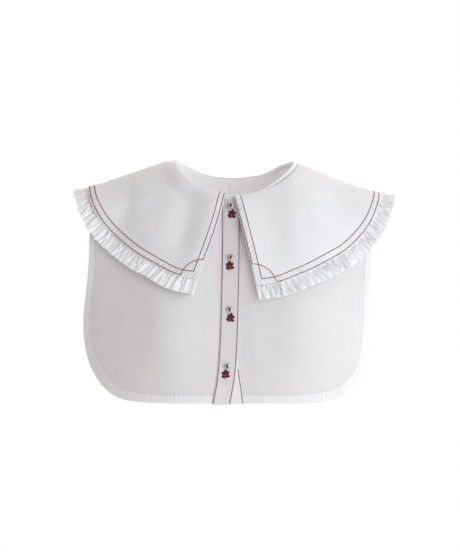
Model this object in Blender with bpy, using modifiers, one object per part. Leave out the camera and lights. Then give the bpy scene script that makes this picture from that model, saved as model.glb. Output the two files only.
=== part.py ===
"""A detachable frilled collar: a short buttoned bib with a wide pointed collar and a gathered frill.

The garment is shown worn, with no wearer in it. The origin is in the middle of the neck opening, on
the shoulder line and level with the sides of the neck. The front faces -Y and +Z is up.

Every piece is set out on one chart of the cloth, as a pattern cutter would: x runs across the figure,
and run is the distance along the cloth from the shoulder line, down the front when it is above zero
and down the back when it is below. A third value, lift, is how far a layer lies outside the chart.
All sizes are in millimetres until a point is placed.
"""

import math

import bmesh
import bpy
import numpy as np
from mathutils import Vector

MM = 0.001

# The wearer's right is on the viewer's left, at -X.
RIGHT = -1
LEFT = 1
SIDE_NAMES = {RIGHT: "right", LEFT: "left"}

WALL = 1.15
SEAM_GAP = 0.3

# Shoulder line below the cloth's layers, from the wearer's right to the left.
SHOULDER_LINE = (
    # x, height
    (-215, -47.0),
    (-180, -36.8),
    (-139, -23.0),
    (-73, -1.5),
    (0, 9.0),
    (80, -4.5),
    (141, -30.5),
    (178, -42.8),
    (215, -53.5),
)

# Side view of the cloth: how far it has dropped below the shoulder line, and how far it then stands
# in front of or behind that line, at the middle of the figure and at its side.
FRONT_SECTION = (
    # drop, middle reach, side reach
    (5, 20, 17),
    (15, 35, 28),
    (30, 47, 35),
    (60, 62, 39),
    (100, 77, 38),
    (150, 92, 35),
    (200, 102, 33),
    (260, 106, 32),
    (350, 107, 32),
)
BACK_SECTION = (
    # drop, middle reach, side reach
    (5, 18, 14),
    (15, 32, 24),
    (30, 44, 32),
    (60, 60, 36),
    (100, 76, 36),
    (150, 86, 34),
    (200, 89, 32),
    (260, 89, 31),
    (350, 88, 31),
)
FORM_HALF_WIDTH = 200.0
SIDE_POWER = 3.0

# The front fills out softly on each side of the placket.
CHEST_X = 88.0
CHEST_Z = -225.0
CHEST_FULLNESS = 12.0
CHEST_WIDTH = 52.0
CHEST_HEIGHT = 85.0
CHEST_START_RUN = 98.0

# Neck opening: its front from the wearer's left to the right, then its back the other way.
NECK_SIDE_X = {RIGHT: -73.3, LEFT: 79.8}
NECK_FRONT = (
    # x, height
    (78.0, -10.5),
    (68.9, -20.0),
    (51.9, -32.9),
    (34.9, -41.5),
    (17.9, -46.5),
    (1.3, -48.0),
    (-20.9, -42.8),
    (-38.7, -36.5),
    (-51.2, -30.7),
    (-59.6, -25.0),
    (-65.3, -18.8),
    (-71.3, -9.5),
)
NECK_BACK = (
    # x, height
    (-64.0, -6.5),
    (-53.6, -11.8),
    (-37.3, -18.6),
    (-14.7, -22.9),
    (4.0, -23.7),
    (17.3, -22.8),
    (45.0, -17.3),
    (65.3, -8.2),
)
CENTRE_FRONT_X = -4.5
CENTRE_BACK_X = -5.0
BAND_WIDTH = 6.2
BAND_WALL = 2.2

# Middle line of the top placket, which swings to the wearer's right as it hangs.
PLACKET_WIDTH = 25.2
PLACKET_WALL = 1.2
PLACKET_LIFT = 0.15
PLACKET_FOOT_Z = -324.0
PLACKET_LINE = (
    # height, x
    (-45, -1.8),
    (-106, -1.5),
    (-186, -2.7),
    (-230, -4.0),
    (-261, -5.5),
    (-287, -7.8),
    (-302, -10.0),
    (-314, -12.4),
    (-325, -14.4),
)
# Seam of the under placket, which comes out from behind the top one near the hem.
UNDER_LIFT = -1.5
UNDER_FADE = 25.0
UNDER_SEAM_LINE = (
    # height, x
    (-45, 6.5),
    (-150, 6.5),
    (-230, 7.0),
    (-280, 10.0),
    (-300, 13.1),
    (-322, 15.8),
)

# Outer edge of each front panel from the shoulder seam round the hem's corner.
HEM_Z = -322.4
SHOULDER_SEAM_END = 158.0
FRONT_SIDE_EDGE = {
    # height, x
    RIGHT: (
        (-60, -180.0),
        (-92, -188.0),
        (-125, -189.6),
        (-160, -192.0),
        (-195, -196.0),
        (-225, -197.0),
        (-250, -194.2),
        (-275, -186.8),
    ),
    LEFT: (
        (-60, 180.0),
        (-95, 185.5),
        (-125, 185.3),
        (-171, 181.7),
        (-215, 179.8),
        (-245, 178.5),
        (-265, 176.3),
        (-280, 172.8),
    ),
}
FRONT_HEM_EDGE = {
    # x, height
    RIGHT: (
        (-173.5, -297.5),
        (-155.3, -312.6),
        (-138, -318.5),
        (-112, -321.0),
        (-71.5, -322.2),
    ),
    LEFT: (
        (163.0, -298.2),
        (144.0, -312.6),
        (125.3, -319.0),
        (100.8, -321.8),
        (60.0, -322.2),
    ),
}
BACK_SIDE_EDGE = (
    # height, x
    (-60, 168.0),
    (-110, 172.0),
    (-150, 173.5),
    (-190, 174.5),
    (-220, 174.5),
    (-250, 172.0),
    (-277, 165.0),
)
BACK_HEM_EDGE = (
    # x, height
    (154.0, -294.0),
    (136.0, -308.0),
    (114.0, -315.0),
    (85.0, -317.6),
    (50.0, -318.0),
)
BACK_HEM_Z = -318.0

# Collar: where each front edge leaves the neck, how far its neck edge stands from the opening, and
# its outer edge from the point up to the shoulder and down the back.
COLLAR_START_X = {RIGHT: -7.6, LEFT: 1.4}
COLLAR_ROLL_OPENS_X = (30.0, 62.0)
COLLAR_ROLL_WIDTH = 5.4
COLLAR_SEAM_LIFT = 2.1
COLLAR_LIFT = 3.4
COLLAR_EDGE_LIFT = 4.8
COLLAR_ROLL = 0.12
COLLAR_SHOULDER_X = {RIGHT: -190.5, LEFT: 195.0}
COLLAR_FRONT_EDGE = {
    # x, height
    RIGHT: (
        (-46.2, -158.6),
        (-71.7, -154.8),
        (-94.6, -144.5),
        (-122.1, -128.8),
        (-146.0, -110.6),
        (-164.9, -92.6),
        (-178.2, -74.5),
        (-187.2, -56.0),
    ),
    LEFT: (
        (32.0, -168.0),
        (60.9, -163.6),
        (82.0, -154.6),
        (102.1, -146.0),
        (125.0, -133.8),
        (147.8, -120.5),
        (163.0, -107.8),
        (175.2, -94.8),
        (185.2, -80.5),
        (192.0, -65.5),
    ),
}
COLLAR_BACK_EDGE = (
    # x, height
    (186, -58),
    (170, -84),
    (134, -110),
    (90, -127),
    (46, -136),
    (0, -138),
)
# Soft folds that run out from the neck: place along the front edge, width and height of each.
COLLAR_FOLDS = {
    # place, width, height
    RIGHT: ((0.19, 0.12, -1.1), (0.39, 0.10, 1.0), (0.59, 0.09, -1.2), (0.76, 0.08, 0.9)),
    LEFT: ((0.10, 0.08, 0.7), (0.26, 0.11, -1.1), (0.50, 0.12, 1.0), (0.72, 0.10, -0.9)),
}
# The collar's points stand a little off the bib.
COLLAR_POINT_LIFT = {RIGHT: 1.0, LEFT: 4.0}
COLLAR_POINT_SHARE = 0.1

FRILL_WIDTH = 18.0
FRILL_FLARE = 2.5
FRILL_FLARE_SHARE = 0.09
FRILL_WAVES = 46
FRILL_SEAM_WAVE = 0.5
FRILL_EDGE_WAVE = 2.3
FRILL_STEPS_A_WAVE = 6
FRILL_ROWS = (0.0, 1.0)

BUTTON_DIAMETER = 9.2
BUTTON_THICKNESS = 2.3
BUTTON_RIM = 0.8
BUTTON_SHANK = 1.6
BUTTON_HEIGHTS = (-61.7, -130.1, -198.6, -273.1)
BUTTON_SEGMENTS = 20

COLOURS = {
    "cotton_poplin": (0.83, 0.82, 0.83, 1.0),
    "shell_button": (0.90, 0.89, 0.86, 1.0),
}
ROUGHNESS = {"cotton_poplin": 0.85, "shell_button": 0.25}


def clear_scene():
    """Removes the startup objects and makes the garment's collection."""
    for item in list(bpy.data.objects):
        bpy.data.objects.remove(item, do_unlink=True)
    garment = bpy.data.collections.new("frilled_collar")
    bpy.context.scene.collection.children.link(garment)
    return garment


def make_material(name):
    """A Principled material in the finish's colour and roughness."""
    material = bpy.data.materials.new(name)
    material.use_nodes = True
    shader = material.node_tree.nodes["Principled BSDF"]
    shader.inputs["Base Color"].default_value = COLOURS[name]
    shader.inputs["Roughness"].default_value = ROUGHNESS[name]
    shader.inputs["Metallic"].default_value = 0.0
    return material


def spline_through(stations, values):
    """A natural cubic spline through the values at rising stations, as a function."""
    stations = np.asarray(stations, float)
    values = np.asarray(values, float)
    count = len(stations)
    step = np.diff(stations)
    slope = np.diff(values) / step
    system = np.eye(count)
    target = np.zeros(count)
    for i in range(1, count - 1):
        system[i, i - 1 : i + 2] = step[i - 1], 2 * (step[i - 1] + step[i]), step[i]
        target[i] = 6 * (slope[i] - slope[i - 1])
    bend = np.linalg.solve(system, target)

    def value_at(station):
        i = int(np.clip(np.searchsorted(stations, station) - 1, 0, count - 2))
        before = (stations[i + 1] - station) / step[i]
        after = 1 - before
        curve = (before**3 - before) * bend[i] + (after**3 - after) * bend[i + 1]
        return before * values[i] + after * values[i + 1] + curve * step[i] ** 2 / 6

    return value_at


def curve_through(points):
    """A smooth curve through chart points, as a function of the share of its length."""
    points = np.asarray(points, float)
    lengths = np.concatenate(([0.0], np.cumsum(np.linalg.norm(np.diff(points, axis=0), axis=1))))
    across = spline_through(lengths, points[:, 0])
    along = spline_through(lengths, points[:, 1])
    return lambda share: (across(share * lengths[-1]), along(share * lengths[-1]))


def smooth_step(value):
    value = min(max(value, 0.0), 1.0)
    return value * value * (3 - 2 * value)


shoulder_height = spline_through(*zip(*SHOULDER_LINE))


def section_curves(column):
    """Forward reach and drop as functions of run, for one column of the side-view tables."""
    back = [(-row[column], row[0]) for row in reversed(BACK_SECTION)]
    front = [(row[column], row[0]) for row in FRONT_SECTION]
    points = np.array([*back, (0, 0), *front], float)
    runs = np.concatenate(([0.0], np.cumsum(np.linalg.norm(np.diff(points, axis=0), axis=1))))
    runs -= runs[len(back)]
    return spline_through(runs, points[:, 0]), spline_through(runs, points[:, 1])


MIDDLE_REACH, MIDDLE_DROP = section_curves(1)
SIDE_REACH, SIDE_DROP = section_curves(2)


def chest_fullness(x, z):
    """How far the front swells past its plain section."""
    across = sum(math.exp(-(((x - side * CHEST_X) / CHEST_WIDTH) ** 2)) for side in (RIGHT, LEFT))
    return CHEST_FULLNESS * across * math.exp(-(((z - CHEST_Z) / CHEST_HEIGHT) ** 2))


def form_point(x, run):
    """Point of the chart's surface at rest on the figure."""
    side = min(abs(x) / FORM_HALF_WIDTH, 1.1) ** SIDE_POWER
    reach = (1 - side) * MIDDLE_REACH(run) + side * SIDE_REACH(run)
    drop = (1 - side) * MIDDLE_DROP(run) + side * SIDE_DROP(run)
    z = shoulder_height(x) - drop
    if run > 0:
        reach += chest_fullness(x, z) * smooth_step(run / CHEST_START_RUN)
    return Vector((x, -reach, z))


def cloth_point(x, run, lift):
    """Point of a layer that lies lift outside the chart, in metres."""
    step = 0.5
    across = form_point(x + step, run) - form_point(x - step, run)
    down = form_point(x, run + step) - form_point(x, run - step)
    return (form_point(x, run) + down.cross(across).normalized() * lift) * MM


def run_at(x, z, face):
    """Run at which the cloth has come down to height z, on the front (1) or the back (-1)."""
    low, high = 0.0, 450.0
    for _ in range(40):
        middle = (low + high) / 2
        if form_point(x, face * middle).z > z:
            low = middle
        else:
            high = middle
    return face * (low + high) / 2


def neck_curves():
    """x and run of the neck opening by turn: 0 at the wearer's left side, 180 at the right."""
    front = [(NECK_SIDE_X[LEFT], 0.0), *((x, run_at(x, z, 1)) for x, z in NECK_FRONT)]
    back = [(NECK_SIDE_X[RIGHT], 0.0), *((x, run_at(x, z, -1)) for x, z in NECK_BACK)]
    loop = np.array([*front, *back, front[0]], float)
    steps = np.linalg.norm(np.diff(loop, axis=0), axis=1)
    half = len(front)
    turns = [0.0]
    for part in (steps[:half], steps[half:]):
        turns.extend(turns[-1] + 180 * np.cumsum(part) / part.sum())
    turns = np.array(turns)
    over = 4
    stations = np.concatenate((turns[-over - 1 : -1] - 360, turns, turns[1 : over + 1] + 360))
    values = np.concatenate((loop[-over - 1 : -1], loop, loop[1 : over + 1]))
    return spline_through(stations, values[:, 0]), spline_through(stations, values[:, 1])


NECK_X, NECK_RUN = neck_curves()


def neck_point(turn, away):
    """Chart point beside the neck opening, away millimetres outside it."""
    turn %= 360.0
    across = NECK_X(turn + 0.5) - NECK_X(turn - 0.5)
    along = NECK_RUN(turn + 0.5) - NECK_RUN(turn - 0.5)
    length = math.hypot(across, along)
    return NECK_X(turn) + away * along / length, NECK_RUN(turn) - away * across / length


def neck_turn_at(x, away, face=1):
    """Turn at which the neck line stands at this x, on the front (1) or the back (-1)."""
    low, high = (0.0, 180.0) if face == 1 else (360.0, 180.0)
    for _ in range(40):
        middle = (low + high) / 2
        if neck_point(middle, away)[0] > x:
            low = middle
        else:
            high = middle
    return (low + high) / 2


def wall_from_grid(garment, name, columns, rows, place, wall, material):
    """A cloth wall: a grid of columns by rows, laid where place(u, v) says and given thickness."""
    mesh = bpy.data.meshes.new(name)
    sheet = bmesh.new()
    bmesh.ops.create_grid(sheet, x_segments=columns, y_segments=rows, size=0.5)
    for vertex in sheet.verts:
        vertex.co = place(vertex.co.x + 0.5, vertex.co.y + 0.5)
    sheet.to_mesh(mesh)
    sheet.free()
    mesh.materials.append(material)
    mesh.shade_smooth()
    piece = bpy.data.objects.new(name, mesh)
    garment.objects.link(piece)
    thickness = piece.modifiers.new("cloth thickness", "SOLIDIFY")
    thickness.thickness = wall * MM
    thickness.offset = 0.0
    thickness.use_even_offset = False
    return piece


def coons_patch(top, bottom, inner, outer):
    """Chart point inside four edges: top and bottom run with u, inner and outer with v."""
    corners = {(u, v): np.array((top if v == 0 else bottom)(u)) for u in (0, 1) for v in (0, 1)}

    def place(u, v):
        across = (1 - v) * np.array(top(u)) + v * np.array(bottom(u))
        along = (1 - u) * np.array(inner(v)) + u * np.array(outer(v))
        flat = (
            (1 - u) * (1 - v) * corners[0, 0]
            + u * (1 - v) * corners[1, 0]
            + (1 - u) * v * corners[0, 1]
            + u * v * corners[1, 1]
        )
        return across + along - flat

    return place


def on_chart(points, face):
    """Chart points of a list of (x, height) points on the front or the back."""
    return [(x, run_at(x, z, face)) for x, z in points]


PLACKET_MIDDLE = spline_through([-z for z, _ in PLACKET_LINE], [x for _, x in PLACKET_LINE])
UNDER_SEAM = spline_through([-z for z, _ in UNDER_SEAM_LINE], [x for _, x in UNDER_SEAM_LINE])


def placket_x(z, share):
    """x across the top placket: share 0 at its right edge, where it is sewn on, and 1 at its left."""
    return PLACKET_MIDDLE(-z) + (share - 0.5) * PLACKET_WIDTH


def centre_back_x(side):
    return CENTRE_BACK_X + side * SEAM_GAP / 2


def seam_away():
    """Distance from the neck opening at which the panels and plackets begin."""
    return BAND_WIDTH + 2 * SEAM_GAP


def panel_rows(v):
    """Rows lie closer together at the shoulder and at the rounded corner of the hem."""
    return 0.45 * v + 0.55 * (1 - math.cos(math.pi * v)) / 2


def make_panel(garment, material, name, side, face, centre_x, side_edge, hem_edge, hem_z, lift):
    """One bib panel, from neck and shoulder seam to the rounded hem."""
    columns_at_neck, columns, rows = 10, 17, 13
    neck_share = columns_at_neck / columns
    start_x = centre_x(-46.0 if face == 1 else -24.0)
    start_turn = neck_turn_at(start_x, seam_away(), face)
    end_turn = 180.0 if side == RIGHT else (0.0 if face == 1 else 360.0)
    shoulder_x = neck_point(end_turn, seam_away())[0]
    seam_run = face * SEAM_GAP / 2

    def top(u):
        if u < neck_share:
            turn = start_turn + (end_turn - start_turn) * u / neck_share
            x, run = neck_point(turn, seam_away())
            return x, face * max(face * run, face * seam_run)
        share = (u - neck_share) / (1 - neck_share)
        return shoulder_x + share * (side * SHOULDER_SEAM_END - shoulder_x), seam_run

    bottom_points = [(centre_x(hem_z), hem_z), *reversed(hem_edge)]
    bottom_curve = curve_through(on_chart(bottom_points, face))
    side_points = [(x, run_at(x, z, face)) for z, x in side_edge]
    corner = on_chart(hem_edge[:1], face)[0]
    side_curve = curve_through([(side * SHOULDER_SEAM_END, seam_run), *side_points, corner])
    top_run = top(0)[1]
    foot_run = bottom_curve(0)[1]

    def inner(v):
        run = top_run + v * (foot_run - top_run)
        x = start_x
        for _ in range(3):
            x = centre_x(form_point(x, run).z)
        return (top(0)[0] if v == 0 else x), run

    patch = coons_patch(top, bottom_curve, inner, side_curve)

    def place(u, v):
        x, run = patch(u, panel_rows(v))
        return cloth_point(x, run, lift(x, run))

    return wall_from_grid(garment, name, columns, rows, place, WALL, material)


def make_front_panels(garment, material):
    """Two front panels. The wearer's left one dips under the top placket."""

    def right_edge(z):
        return placket_x(z, 0) - SEAM_GAP

    def left_edge(z):
        return UNDER_SEAM(-z) + 2 * SEAM_GAP

    def left_lift(x, run):
        from_seam = x - left_edge(form_point(x, run).z)
        return UNDER_LIFT * (1 - smooth_step(from_seam / UNDER_FADE))

    def no_lift(x, run):
        return 0.0

    for side, centre_x, lift in ((RIGHT, right_edge, no_lift), (LEFT, left_edge, left_lift)):
        edges = FRONT_SIDE_EDGE[side], FRONT_HEM_EDGE[side], HEM_Z
        make_panel(garment, material, "front_" + SIDE_NAMES[side], side, 1, centre_x, *edges, lift)


def make_back_panels(garment, material):
    """Two back panels that meet at the centre-back seam."""
    for side in (RIGHT, LEFT):
        side_edge = [(z, side * x) for z, x in BACK_SIDE_EDGE]
        hem_edge = [(side * x, z) for x, z in BACK_HEM_EDGE]
        edges = side_edge, hem_edge, BACK_HEM_Z
        make_panel(
            garment, material, "back_" + SIDE_NAMES[side], side, -1,
            lambda z, x=centre_back_x(side): x, *edges, lambda x, run: 0.0,
        )


def make_placket(garment, material, name, left_x, right_x, foot_z, wall, lift):
    """A straight band down the centre front, between two edges given as functions of height."""
    columns, rows = 4, 22

    def place(u, v):
        def edge_x(z):
            return (1 - u) * left_x(z) + u * right_x(z)

        start = neck_point(neck_turn_at(edge_x(-48.0), seam_away()), seam_away())[1]
        run = start + v * (run_at(edge_x(foot_z), foot_z, 1) - start)
        x = edge_x(foot_z)
        for _ in range(3):
            x = edge_x(form_point(x, run).z)
        return cloth_point(x, run, lift)

    return wall_from_grid(garment, name, columns, rows, place, wall, material)


def make_neck_band(garment, material):
    """The narrow binding round the neck, open at the centre front."""
    columns, rows = 72, 1
    start_turn = neck_turn_at(CENTRE_FRONT_X - SEAM_GAP / 2, 0.0)
    end_turn = neck_turn_at(CENTRE_FRONT_X + SEAM_GAP / 2, 0.0) + 360.0

    def place(u, v):
        x, run = neck_point(start_turn + u * (end_turn - start_turn), v * BAND_WIDTH)
        return cloth_point(x, run, 0.0)

    return wall_from_grid(garment, "neck_band", columns, rows, place, BAND_WALL, material)


def collar_outer_curve(side):
    """Outer edge of a collar half from its point over the shoulder to the centre back."""
    front = on_chart(COLLAR_FRONT_EDGE[side], 1)
    back_points = [(side * x, z) for x, z in COLLAR_BACK_EDGE[:-1]]
    back_points.append((centre_back_x(side), COLLAR_BACK_EDGE[-1][1]))
    whole = curve_through([*front, (COLLAR_SHOULDER_X[side], 0.0), *on_chart(back_points, -1)])
    shares = np.linspace(0, 1, 400)
    shoulder_share = next(float(share) for share in shares if whole(share)[1] <= 0)
    return whole, shoulder_share


def collar_away(side, x):
    """How far the collar's neck edge stands from the opening: it rolls back on the wearer's left."""
    start, end = COLLAR_ROLL_OPENS_X
    return COLLAR_ROLL_WIDTH * smooth_step((x - start) / (end - start))


def edge_share(t, shoulder_share):
    """Share of the outer edge's length for t, which is 0 at the point, 0.5 at the shoulder, 1 behind."""
    if t < 0.5:
        return 2 * t * shoulder_share
    return shoulder_share + (2 * t - 1) * (1 - shoulder_share)


def outward(curve, share):
    """Chart direction that points away from the collar at its outer edge."""
    step = 0.002
    before, after = curve(max(share - step, 0.0)), curve(min(share + step, 1.0))
    across, along = after[0] - before[0], after[1] - before[1]
    length = math.hypot(across, along)
    return along / length, -across / length


def fold_height(side, t, distance):
    """Height of the soft folds at t along a collar half and a share of the way from the neck."""
    total = 0.0
    for place, width, height in COLLAR_FOLDS[side]:
        for mirrored in (place / 2, 1 - place / 2):
            total += height * math.exp(-(((t - mirrored) / (width / 2)) ** 2))
    return total * smooth_step(distance * 1.4)


def collar_lift(side, t, distance):
    """Lift of the collar between neck (0) and outer edge (1): a small roll, then soft folds."""
    rolled = smooth_step(distance / COLLAR_ROLL)
    plain = COLLAR_SEAM_LIFT + (COLLAR_LIFT - COLLAR_SEAM_LIFT) * rolled
    opened = (COLLAR_EDGE_LIFT - COLLAR_LIFT) * smooth_step(distance)
    at_point = COLLAR_POINT_LIFT[side] * math.exp(-((t / COLLAR_POINT_SHARE) ** 2))
    return plain + opened + fold_height(side, t, distance) + at_point * distance**2


def make_collar_half(garment, material, side):
    """Half of the flat collar, from its front edge over the shoulder to the centre back."""
    columns, rows = 36, 7
    whole, shoulder_share = collar_outer_curve(side)
    start_turn = neck_turn_at(COLLAR_START_X[side], 0.0)
    side_turn = 180.0 if side == RIGHT else 0.0
    back_turn = neck_turn_at(centre_back_x(side), 0.0, -1) - (0.0 if side == RIGHT else 360.0)

    def place(u, v):
        distance = v**1.25
        outer_x, outer_run = whole(edge_share(u, shoulder_share))
        if u < 0.5:
            turn = start_turn + 2 * u * (side_turn - start_turn)
        else:
            turn = side_turn + (2 * u - 1) * (back_turn - side_turn)
        inner_x, inner_run = neck_point(turn, collar_away(side, neck_point(turn, 0.0)[0]))
        x = inner_x + distance * (outer_x - inner_x)
        run = inner_run + distance * (outer_run - inner_run)
        if u == 1:
            x = centre_back_x(side)
        return cloth_point(x, run, collar_lift(side, u, distance))

    name = "collar_" + SIDE_NAMES[side]
    return wall_from_grid(garment, name, columns, rows, place, WALL, material)


def frill_wave(t):
    """Height of the gathers from -1 to 1, a little uneven in spacing and depth as gathers are."""
    uneven = 0.22 * math.sin(2 * math.pi * 5.3 * t + 0.7) + 0.15 * math.sin(2 * math.pi * 11.7 * t + 2.1)
    depth = 0.82 + 0.18 * math.sin(2 * math.pi * 7.9 * t + 1.3)
    return depth * math.cos(2 * math.pi * (FRILL_WAVES * t + uneven))


def make_frill_half(garment, material, side):
    """Half of the gathered frill, sewn to the collar's outer edge."""
    whole, shoulder_share = collar_outer_curve(side)

    def place(u, v):
        distance = FRILL_ROWS[round(v * (len(FRILL_ROWS) - 1))]
        t = u
        share = edge_share(t, shoulder_share)
        x, run = whole(share)
        out_x, out_run = outward(whole, share)
        if side == LEFT:
            out_x, out_run = -out_x, -out_run
        away = SEAM_GAP + distance * FRILL_WIDTH
        x, run = x + away * out_x, run + away * out_run
        if u == 1:
            x = centre_back_x(side)
        height = FRILL_SEAM_WAVE + distance * (FRILL_EDGE_WAVE - FRILL_SEAM_WAVE)
        flare = FRILL_FLARE * distance * math.exp(-(((t - 0.5) / FRILL_FLARE_SHARE) ** 2))
        lift = collar_lift(side, t, 1.0) + flare + height * frill_wave(t)
        return cloth_point(x, run, lift)

    name = "frill_" + SIDE_NAMES[side]
    columns = FRILL_WAVES * FRILL_STEPS_A_WAVE
    return wall_from_grid(garment, name, columns, len(FRILL_ROWS) - 1, place, WALL, material)


def make_button(garment, material, number, height):
    """A round shirt button on its thread shank, turned from a profile and set square to the placket."""
    radius = BUTTON_DIAMETER / 2
    thread = 0.9
    profile = (
        (0.0, BUTTON_SHANK + BUTTON_THICKNESS - 0.9),
        (radius - BUTTON_RIM - 0.7, BUTTON_SHANK + BUTTON_THICKNESS - 0.9),
        (radius - BUTTON_RIM, BUTTON_SHANK + BUTTON_THICKNESS),
        (radius - 0.3, BUTTON_SHANK + BUTTON_THICKNESS - 0.2),
        (radius, BUTTON_SHANK + BUTTON_THICKNESS / 2),
        (radius - 0.8, BUTTON_SHANK),
        (thread, BUTTON_SHANK),
        (thread, 0.0),
        (0.0, 0.0),
    )
    name = f"button_{number}"
    mesh = bpy.data.meshes.new(name)
    edges = [(i, i + 1) for i in range(len(profile) - 1)]
    mesh.from_pydata([(across * MM, 0, up * MM) for across, up in profile], edges, [])
    mesh.materials.append(material)
    button = bpy.data.objects.new(name, mesh)
    garment.objects.link(button)
    turned = button.modifiers.new("turned", "SCREW")
    turned.steps = turned.render_steps = BUTTON_SEGMENTS
    turned.use_merge_vertices = True
    turned.merge_threshold = 0.00001
    x = PLACKET_MIDDLE(-height)
    run = run_at(x, height, 1)
    seat = cloth_point(x, run, PLACKET_LIFT + PLACKET_WALL / 2 + SEAM_GAP)
    outward_way = cloth_point(x, run, 10.0) - cloth_point(x, run, 0.0)
    button.location = seat
    button.rotation_mode = "QUATERNION"
    button.rotation_quaternion = outward_way.to_track_quat("Z", "Y")
    return button


def main():
    garment = clear_scene()
    cotton = make_material("cotton_poplin")
    shell = make_material("shell_button")
    make_front_panels(garment, cotton)
    make_back_panels(garment, cotton)
    make_placket(
        garment, cotton, "placket_top",
        lambda z: placket_x(z, 0), lambda z: placket_x(z, 1),
        PLACKET_FOOT_Z, PLACKET_WALL, PLACKET_LIFT,
    )
    make_placket(
        garment, cotton, "placket_under",
        lambda z: UNDER_SEAM(-z) - PLACKET_WIDTH, lambda z: UNDER_SEAM(-z),
        HEM_Z, WALL, UNDER_LIFT,
    )
    make_neck_band(garment, cotton)
    for side in (RIGHT, LEFT):
        make_collar_half(garment, cotton, side)
        make_frill_half(garment, cotton, side)
    for number, height in enumerate(BUTTON_HEIGHTS, start=1):
        make_button(garment, shell, number, height)


main()
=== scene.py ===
# %% [markdown]
# # A frilled collar in white cotton poplin
# This is a short buttoned bib with a wide pointed collar and a gathered frill, standing in the shape
# it takes when it is worn. Every piece of cloth is set out on one chart, as a pattern cutter would do
# it: x runs across the figure, run is the distance along the cloth from the shoulder line, above zero
# down the front and below zero down the back, and lift is how far a layer lies outside the chart. All
# of these are in millimetres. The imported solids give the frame, and each is replaced by a finer piece.

import math

import bpy
import numpy as np
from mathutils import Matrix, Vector
from mathutils.bvhtree import BVHTree
from mathutils.kdtree import KDTree


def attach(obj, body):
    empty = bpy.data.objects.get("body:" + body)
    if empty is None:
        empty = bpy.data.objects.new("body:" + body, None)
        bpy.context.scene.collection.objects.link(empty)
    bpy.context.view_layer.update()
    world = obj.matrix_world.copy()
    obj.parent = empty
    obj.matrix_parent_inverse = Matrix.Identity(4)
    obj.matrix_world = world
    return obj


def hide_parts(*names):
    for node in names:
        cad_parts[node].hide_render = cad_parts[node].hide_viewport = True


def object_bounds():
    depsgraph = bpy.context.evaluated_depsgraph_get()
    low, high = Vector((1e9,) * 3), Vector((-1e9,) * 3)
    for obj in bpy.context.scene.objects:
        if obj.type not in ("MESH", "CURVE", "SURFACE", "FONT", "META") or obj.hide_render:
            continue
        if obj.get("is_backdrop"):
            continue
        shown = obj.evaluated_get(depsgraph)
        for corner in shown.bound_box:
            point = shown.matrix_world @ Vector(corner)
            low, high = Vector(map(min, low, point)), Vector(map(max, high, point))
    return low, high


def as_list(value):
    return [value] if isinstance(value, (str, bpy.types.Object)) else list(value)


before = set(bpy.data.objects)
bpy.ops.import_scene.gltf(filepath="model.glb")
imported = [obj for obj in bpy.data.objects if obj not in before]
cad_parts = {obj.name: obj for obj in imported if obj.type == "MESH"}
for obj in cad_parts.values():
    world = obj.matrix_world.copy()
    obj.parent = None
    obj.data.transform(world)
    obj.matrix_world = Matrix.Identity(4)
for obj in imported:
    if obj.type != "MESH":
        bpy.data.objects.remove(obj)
cad_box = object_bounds()
print("solids:", ", ".join(sorted(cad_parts)))
print("box of the solids, mm:", [[round(c * 1000) for c in corner] for corner in cad_box])

MM = 0.001
RIGHT, LEFT = -1, 1  # the wearer's sides: the wearer's right is on the viewer's left
SIDE_NAMES = {RIGHT: "right", LEFT: "left"}
SIDES = (RIGHT, LEFT)
FRONT, BACK = 1, -1
FACE_NAMES = {FRONT: "front", BACK: "back"}

# %% [markdown]
# ## The camera
# The photograph was taken from straight in front and from far away, because both sides of the bib hang
# upright and the inside of the back neck is seen only a little. A very long lens ten metres away gives
# that, and the picture's scale then fixes the focal length: 1.333 mm of cloth to a pixel.

# %% Camera
PHOTO_HEIGHT = 552
MM_A_PIXEL = 1.333
CAMERA_DISTANCE = 10.0
SENSOR = 36.0
AIM = (-2.7, -154.0)  # x and height in the middle of the picture

camera_data = bpy.data.cameras.new("camera")
camera_data.sensor_width = SENSOR
camera_data.lens = SENSOR * CAMERA_DISTANCE / (PHOTO_HEIGHT * MM_A_PIXEL * MM)
camera_data.clip_end = 100.0
camera = bpy.data.objects.new("camera", camera_data)
camera.location = (AIM[0] * MM, -CAMERA_DISTANCE, AIM[1] * MM)
camera.rotation_euler = (math.radians(90), 0, 0)
bpy.context.scene.collection.objects.link(camera)
bpy.context.scene.camera = camera
print(f"lens {camera_data.lens:.0f} mm at {CAMERA_DISTANCE:.0f} m")

# %% [markdown]
# ## Curves through measured points
# A pattern is drawn through a few measured points with a bent ruler. A natural cubic spline is that
# ruler. It is written for whole arrays of stations, because each piece has tens of thousands of points.

# %% Splines and soft steps
def spline_through(stations, values):
    """A natural cubic spline through the values at rising stations, as a function of arrays."""
    stations = np.asarray(stations, float)
    values = np.asarray(values, float)
    count = len(stations)
    step = np.diff(stations)
    slope = np.diff(values) / step
    system = np.eye(count)
    target = np.zeros(count)
    for i in range(1, count - 1):
        system[i, i - 1 : i + 2] = step[i - 1], 2 * (step[i - 1] + step[i]), step[i]
        target[i] = 6 * (slope[i] - slope[i - 1])
    bend = np.linalg.solve(system, target)

    def value_at(station):
        station = np.asarray(station, float)
        i = np.clip(np.searchsorted(stations, station) - 1, 0, count - 2)
        before = (stations[i + 1] - station) / step[i]
        after = 1 - before
        curve = (before**3 - before) * bend[i] + (after**3 - after) * bend[i + 1]
        return before * values[i] + after * values[i + 1] + curve * step[i] ** 2 / 6

    return value_at


def lengths_along(points):
    """Length from the start of a line to each of its points."""
    steps = np.linalg.norm(np.diff(points, axis=0), axis=1)
    return np.concatenate(([0.0], np.cumsum(steps)))


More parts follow.
